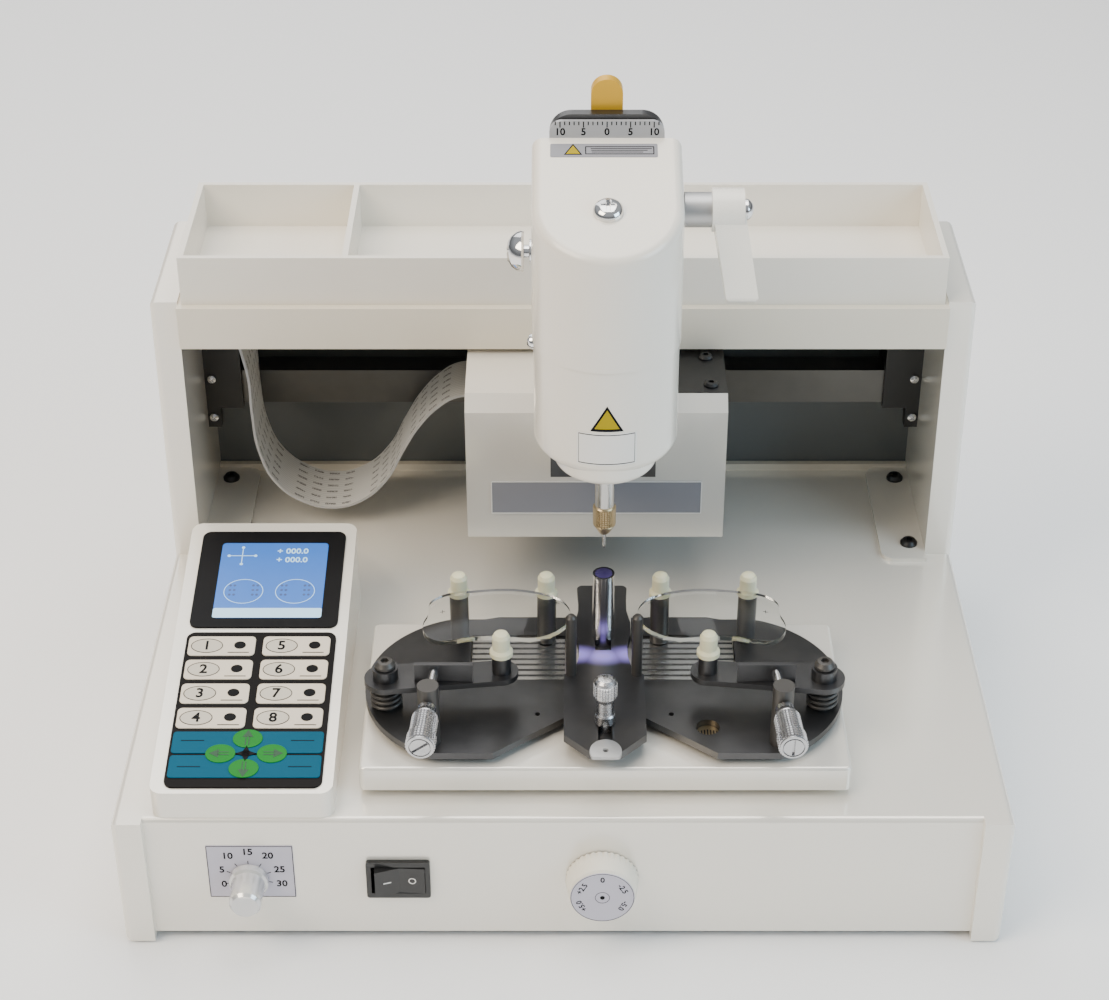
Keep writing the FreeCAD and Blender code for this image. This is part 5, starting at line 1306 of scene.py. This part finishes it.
    def lens_marks(self) -> None:
        """Fine crosses on the curved lenses, where holes will be drilled."""
        marks: list[Piece] = []
        for side in (-1, 1):
            for dx, y in self.drill_marks:
                away = Vector((side * (dx - self.lens_out), y - self.lens_row, 0))
                away.z = math.sqrt(self.lens_radius ** 2 - away.x ** 2 - away.y ** 2)
                across = Vector((0, 1, 0)).cross(away).normalized()
                centre = Vector((self.middle + side * self.lens_out, self.lens_row, self.lens_top - self.lens_radius))
                top = centre + away
                spot = Surface(tuple(top), tuple(across), tuple(away.normalized().cross(across)))
                marks += [Bench.plate("mark", spot.matrix(lift=0.01), size, 0.03) for size in ((1.8, 0.2), (0.2, 1.8))]
        self.fit(Bench.joined("lens_marks", marks), INK, slot="clear_lens")


@dataclass
class Carriage(SubAssembly):
    """The blank strip on the carriage cover, and the ribbon cable that trails to it."""

    body: str = "carriage"
    slot: str = "ribbon"
    cover_front: float = 16.5
    strip_middle: Pair = (11.8, 99.0)
    strip_size: Pair = (74.4, 13.6)
    width: Pair = (66.5, 91.5)
    thick: float = 0.9
    route: tuple[Pair, ...] = (
        (-118.5, 155), (-118.4, 136), (-115.6, 118), (-115.3, 102), (-113.8, 86), (-108.5, 72.4), (-98.6, 63.8),
        (-87.5, 61), (-76.3, 64.4), (-66.6, 73.8), (-59.8, 86.8), (-53.6, 97.4), (-46.4, 105.6), (-39.5, 110.0),
        (-31, 110.6))

    def build(self) -> None:
        """Strip and ribbon."""
        self.strip()
        self.ribbon()

    def strip(self) -> None:
        """A blank strip in a thin frame, across the cover's front."""
        front = Surface((0, self.cover_front, 0))
        x, z = self.strip_middle
        strip = Bench.plate("blank_strip", front.matrix(x, z), self.strip_size, 0.3, 0.4)
        self.fit(strip, LABEL_GREY, slot="display")
        self.fit(Bench.frame_line("strip_border", front.matrix(x, z, 0.3), self.strip_size, 0.35, 0.08, 0.4),
                 LABEL_WHITE, slot="display")

    def ribbon(self) -> None:
        """The flat cable, swept along its route and bending between the frame and the carriage."""
        Bench.clear()
        bpy.ops.curve.primitive_bezier_curve_add()
        path = bpy.context.object
        path.data.dimensions = "2D"
        path.data.fill_mode = "NONE"
        path.data.resolution_u = 8
        line = path.data.splines[0]
        line.bezier_points.add(len(self.route) - len(line.bezier_points))
        for point, (x, z) in zip(line.bezier_points, self.route):
            point.co = (x * MM, z * MM, 0)
            point.handle_left_type = point.handle_right_type = "AUTO"
        path.data.extrude = (self.width[1] - self.width[0]) / 2 * MM
        Bench.only(path)
        bpy.ops.object.convert(target="MESH")
        band = bpy.context.object
        lay = Matrix.Translation((0, sum(self.width) / 2 * MM, 0)) @ Matrix.Rotation(math.pi / 2, 4, "X")
        Bench.settle(band, lay, "flat_ribbon_cable")
        Bench.outward(band)
        Bench.apply(band, "SOLIDIFY", thickness=self.thick * MM, offset=0.0)
        self.measure(band)
        Bench.smooth(band, 50)
        self.fit(band, RIBBON_GREY, stands_for=["ribbon_cable"])
        band.parent = None
        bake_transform(band)

    def measure(self, band: Piece) -> None:
        """Store the distance along and across the cable on each point, for its printing."""
        spots = [Vector((x, z)) for x, z in self.route]
        fine: list[tuple[Vector, float]] = []
        done = 0.0
        for first, last in zip(spots, spots[1:]):
            fine += [(first.lerp(last, i / 8), done + (last - first).length * i / 8) for i in range(8)]
            done += (last - first).length
        fine.append((spots[-1], done))
        run = band.data.attributes.new("run", "FLOAT", "POINT")
        across = band.data.attributes.new("across", "FLOAT", "POINT")
        for i, vertex in enumerate(band.data.vertices):
            here = Vector((vertex.co.x, vertex.co.z)) / MM
            run.data[i].value = min(fine, key=lambda item: (item[0] - here).length_squared)[1] * MM
            across.data[i].value = vertex.co.y - self.width[0] * MM


@dataclass(frozen=True)
class Lamp:
    """A square soft lamp: where it hangs, what it is aimed at, its watts, size and colour."""

    name: str
    place: Triple
    aim: Triple
    power: float
    size: float
    colour: Triple

    def hang(self) -> None:
        """Put the lamp in the scene."""
        data = bpy.data.lights.new(self.name, "AREA")
        data.energy = self.power
        data.size = self.size
        data.color = self.colour
        lamp = bpy.data.objects.new(self.name, data)
        lamp.location = self.place
        lamp.rotation_euler = (Vector(self.aim) - Vector(self.place)).to_track_quat("-Z", "Y").to_euler()
        bpy.context.scene.collection.objects.link(lamp)


@dataclass
class Studio:
    """Camera, soft lights and a pale floor; lengths in metres."""

    eye: Triple = (0.0, -0.6648, 0.5504)
    pitch: float = 33.6
    lens: float = 75.05
    shift: float = -0.0077
    sky: Triple = (0.93, 0.96, 1.0)
    sky_strength: Pair = (0.1, 0.47)
    floor_size: float = 12.0
    floor_gap: float = 0.0002
    floor_colour: Triple = (0.93, 0.93, 0.93)
    lamps: tuple[Lamp, ...] = (
        Lamp("key", (-0.8, -0.55, 1.15), (0, 0, 0.08), 18.0, 0.8, (1.0, 0.87, 0.7)),
        Lamp("fill", (0.95, -0.5, 0.6), (0, 0, 0.08), 9.0, 0.7, (0.62, 0.83, 1.0)),
        Lamp("top", (0.0, 0.2, 1.35), (0, 0, 0.0), 15.0, 1.0, (1.0, 0.98, 0.95)),
        Lamp("rear", (-0.3, 1.0, 0.9), (0, 0, 0.15), 5.0, 0.9, (1.0, 1.0, 1.0)))

    def build(self) -> None:
        """Set the camera, lights, world and floor."""
        self.camera()
        self.lights()
        self.floor()

    def camera(self) -> None:
        """The camera looks along +Y and down."""
        data = bpy.data.cameras.new("camera")
        data.lens = self.lens
        data.sensor_width = 36.0
        data.shift_x = self.shift
        data.clip_start = 0.01
        camera = bpy.data.objects.new("camera", data)
        camera.location = self.eye
        camera.rotation_euler = (math.radians(90 - self.pitch), 0, 0)
        bpy.context.scene.collection.objects.link(camera)
        bpy.context.scene.camera = camera

    def lights(self) -> None:
        """The soft lamps, and a sky that is darker near the horizon."""
        for lamp in self.lamps:
            lamp.hang()
        world = bpy.data.worlds.new("studio")
        world.use_nodes = True
        desk = Desk(world.node_tree)
        shade = desk.first("BACKGROUND")
        desk.dial(shade, Color=self.sky)
        split = desk.add("ShaderNodeSeparateXYZ")
        desk.link(desk.add("ShaderNodeTexCoord").outputs["Generated"], split.inputs[0])
        sky = desk.ramp(split.outputs["Z"], in_From_Min=-0.05, in_From_Max=0.55,
                        in_To_Min=self.sky_strength[0], in_To_Max=self.sky_strength[1])
        desk.link(sky, shade.inputs["Strength"])
        bpy.context.scene.world = world

    def floor(self) -> None:
        """A plain pale floor."""
        Bench.clear()
        bpy.ops.mesh.primitive_plane_add(size=self.floor_size, location=(0, 0, -self.floor_gap))
        ground = Bench.bake_place(bpy.context.object)
        ground.name = "floor"
        pale = bpy.data.materials.new("pale_floor")
        pale.use_nodes = True
        desk = Desk(pale.node_tree)
        desk.dial(desk.first("BSDF_PRINCIPLED"), Base_Color=self.floor_colour, Roughness=0.85)
        ground.data.materials.append(pale)


def dress_frame(nodes: dict[str, Piece]) -> None:
    """Give every CAD node its finish.

    Args:
        nodes: the CAD nodes by name.
    """
    for name, node in nodes.items():
        finish = CAD_FINISHES.get(name)
        if finish is None:
            continue
        made = finish.material()
        if node.material_slots:
            for place in node.material_slots:
                place.material = made
        else:
            node.data.materials.append(made)
        LOG.info("%-22s finished in %s", name, finish.name)


def main() -> None:
    """Load the frame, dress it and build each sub-assembly."""
    logging.basicConfig(level=logging.INFO, format="%(levelname)s %(message)s")
    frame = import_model()
    dress_frame(frame["nodes"])
    Studio().build()
    for part in (ControlPod(), FrontPanel(), RearFrame(), DrillHead(), Spindle(), LensTable(), Carriage()):
        part.build()
        LOG.info("%s: %d pieces", type(part).__name__, len(part.made))


if __name__ == "__main__":
    main()
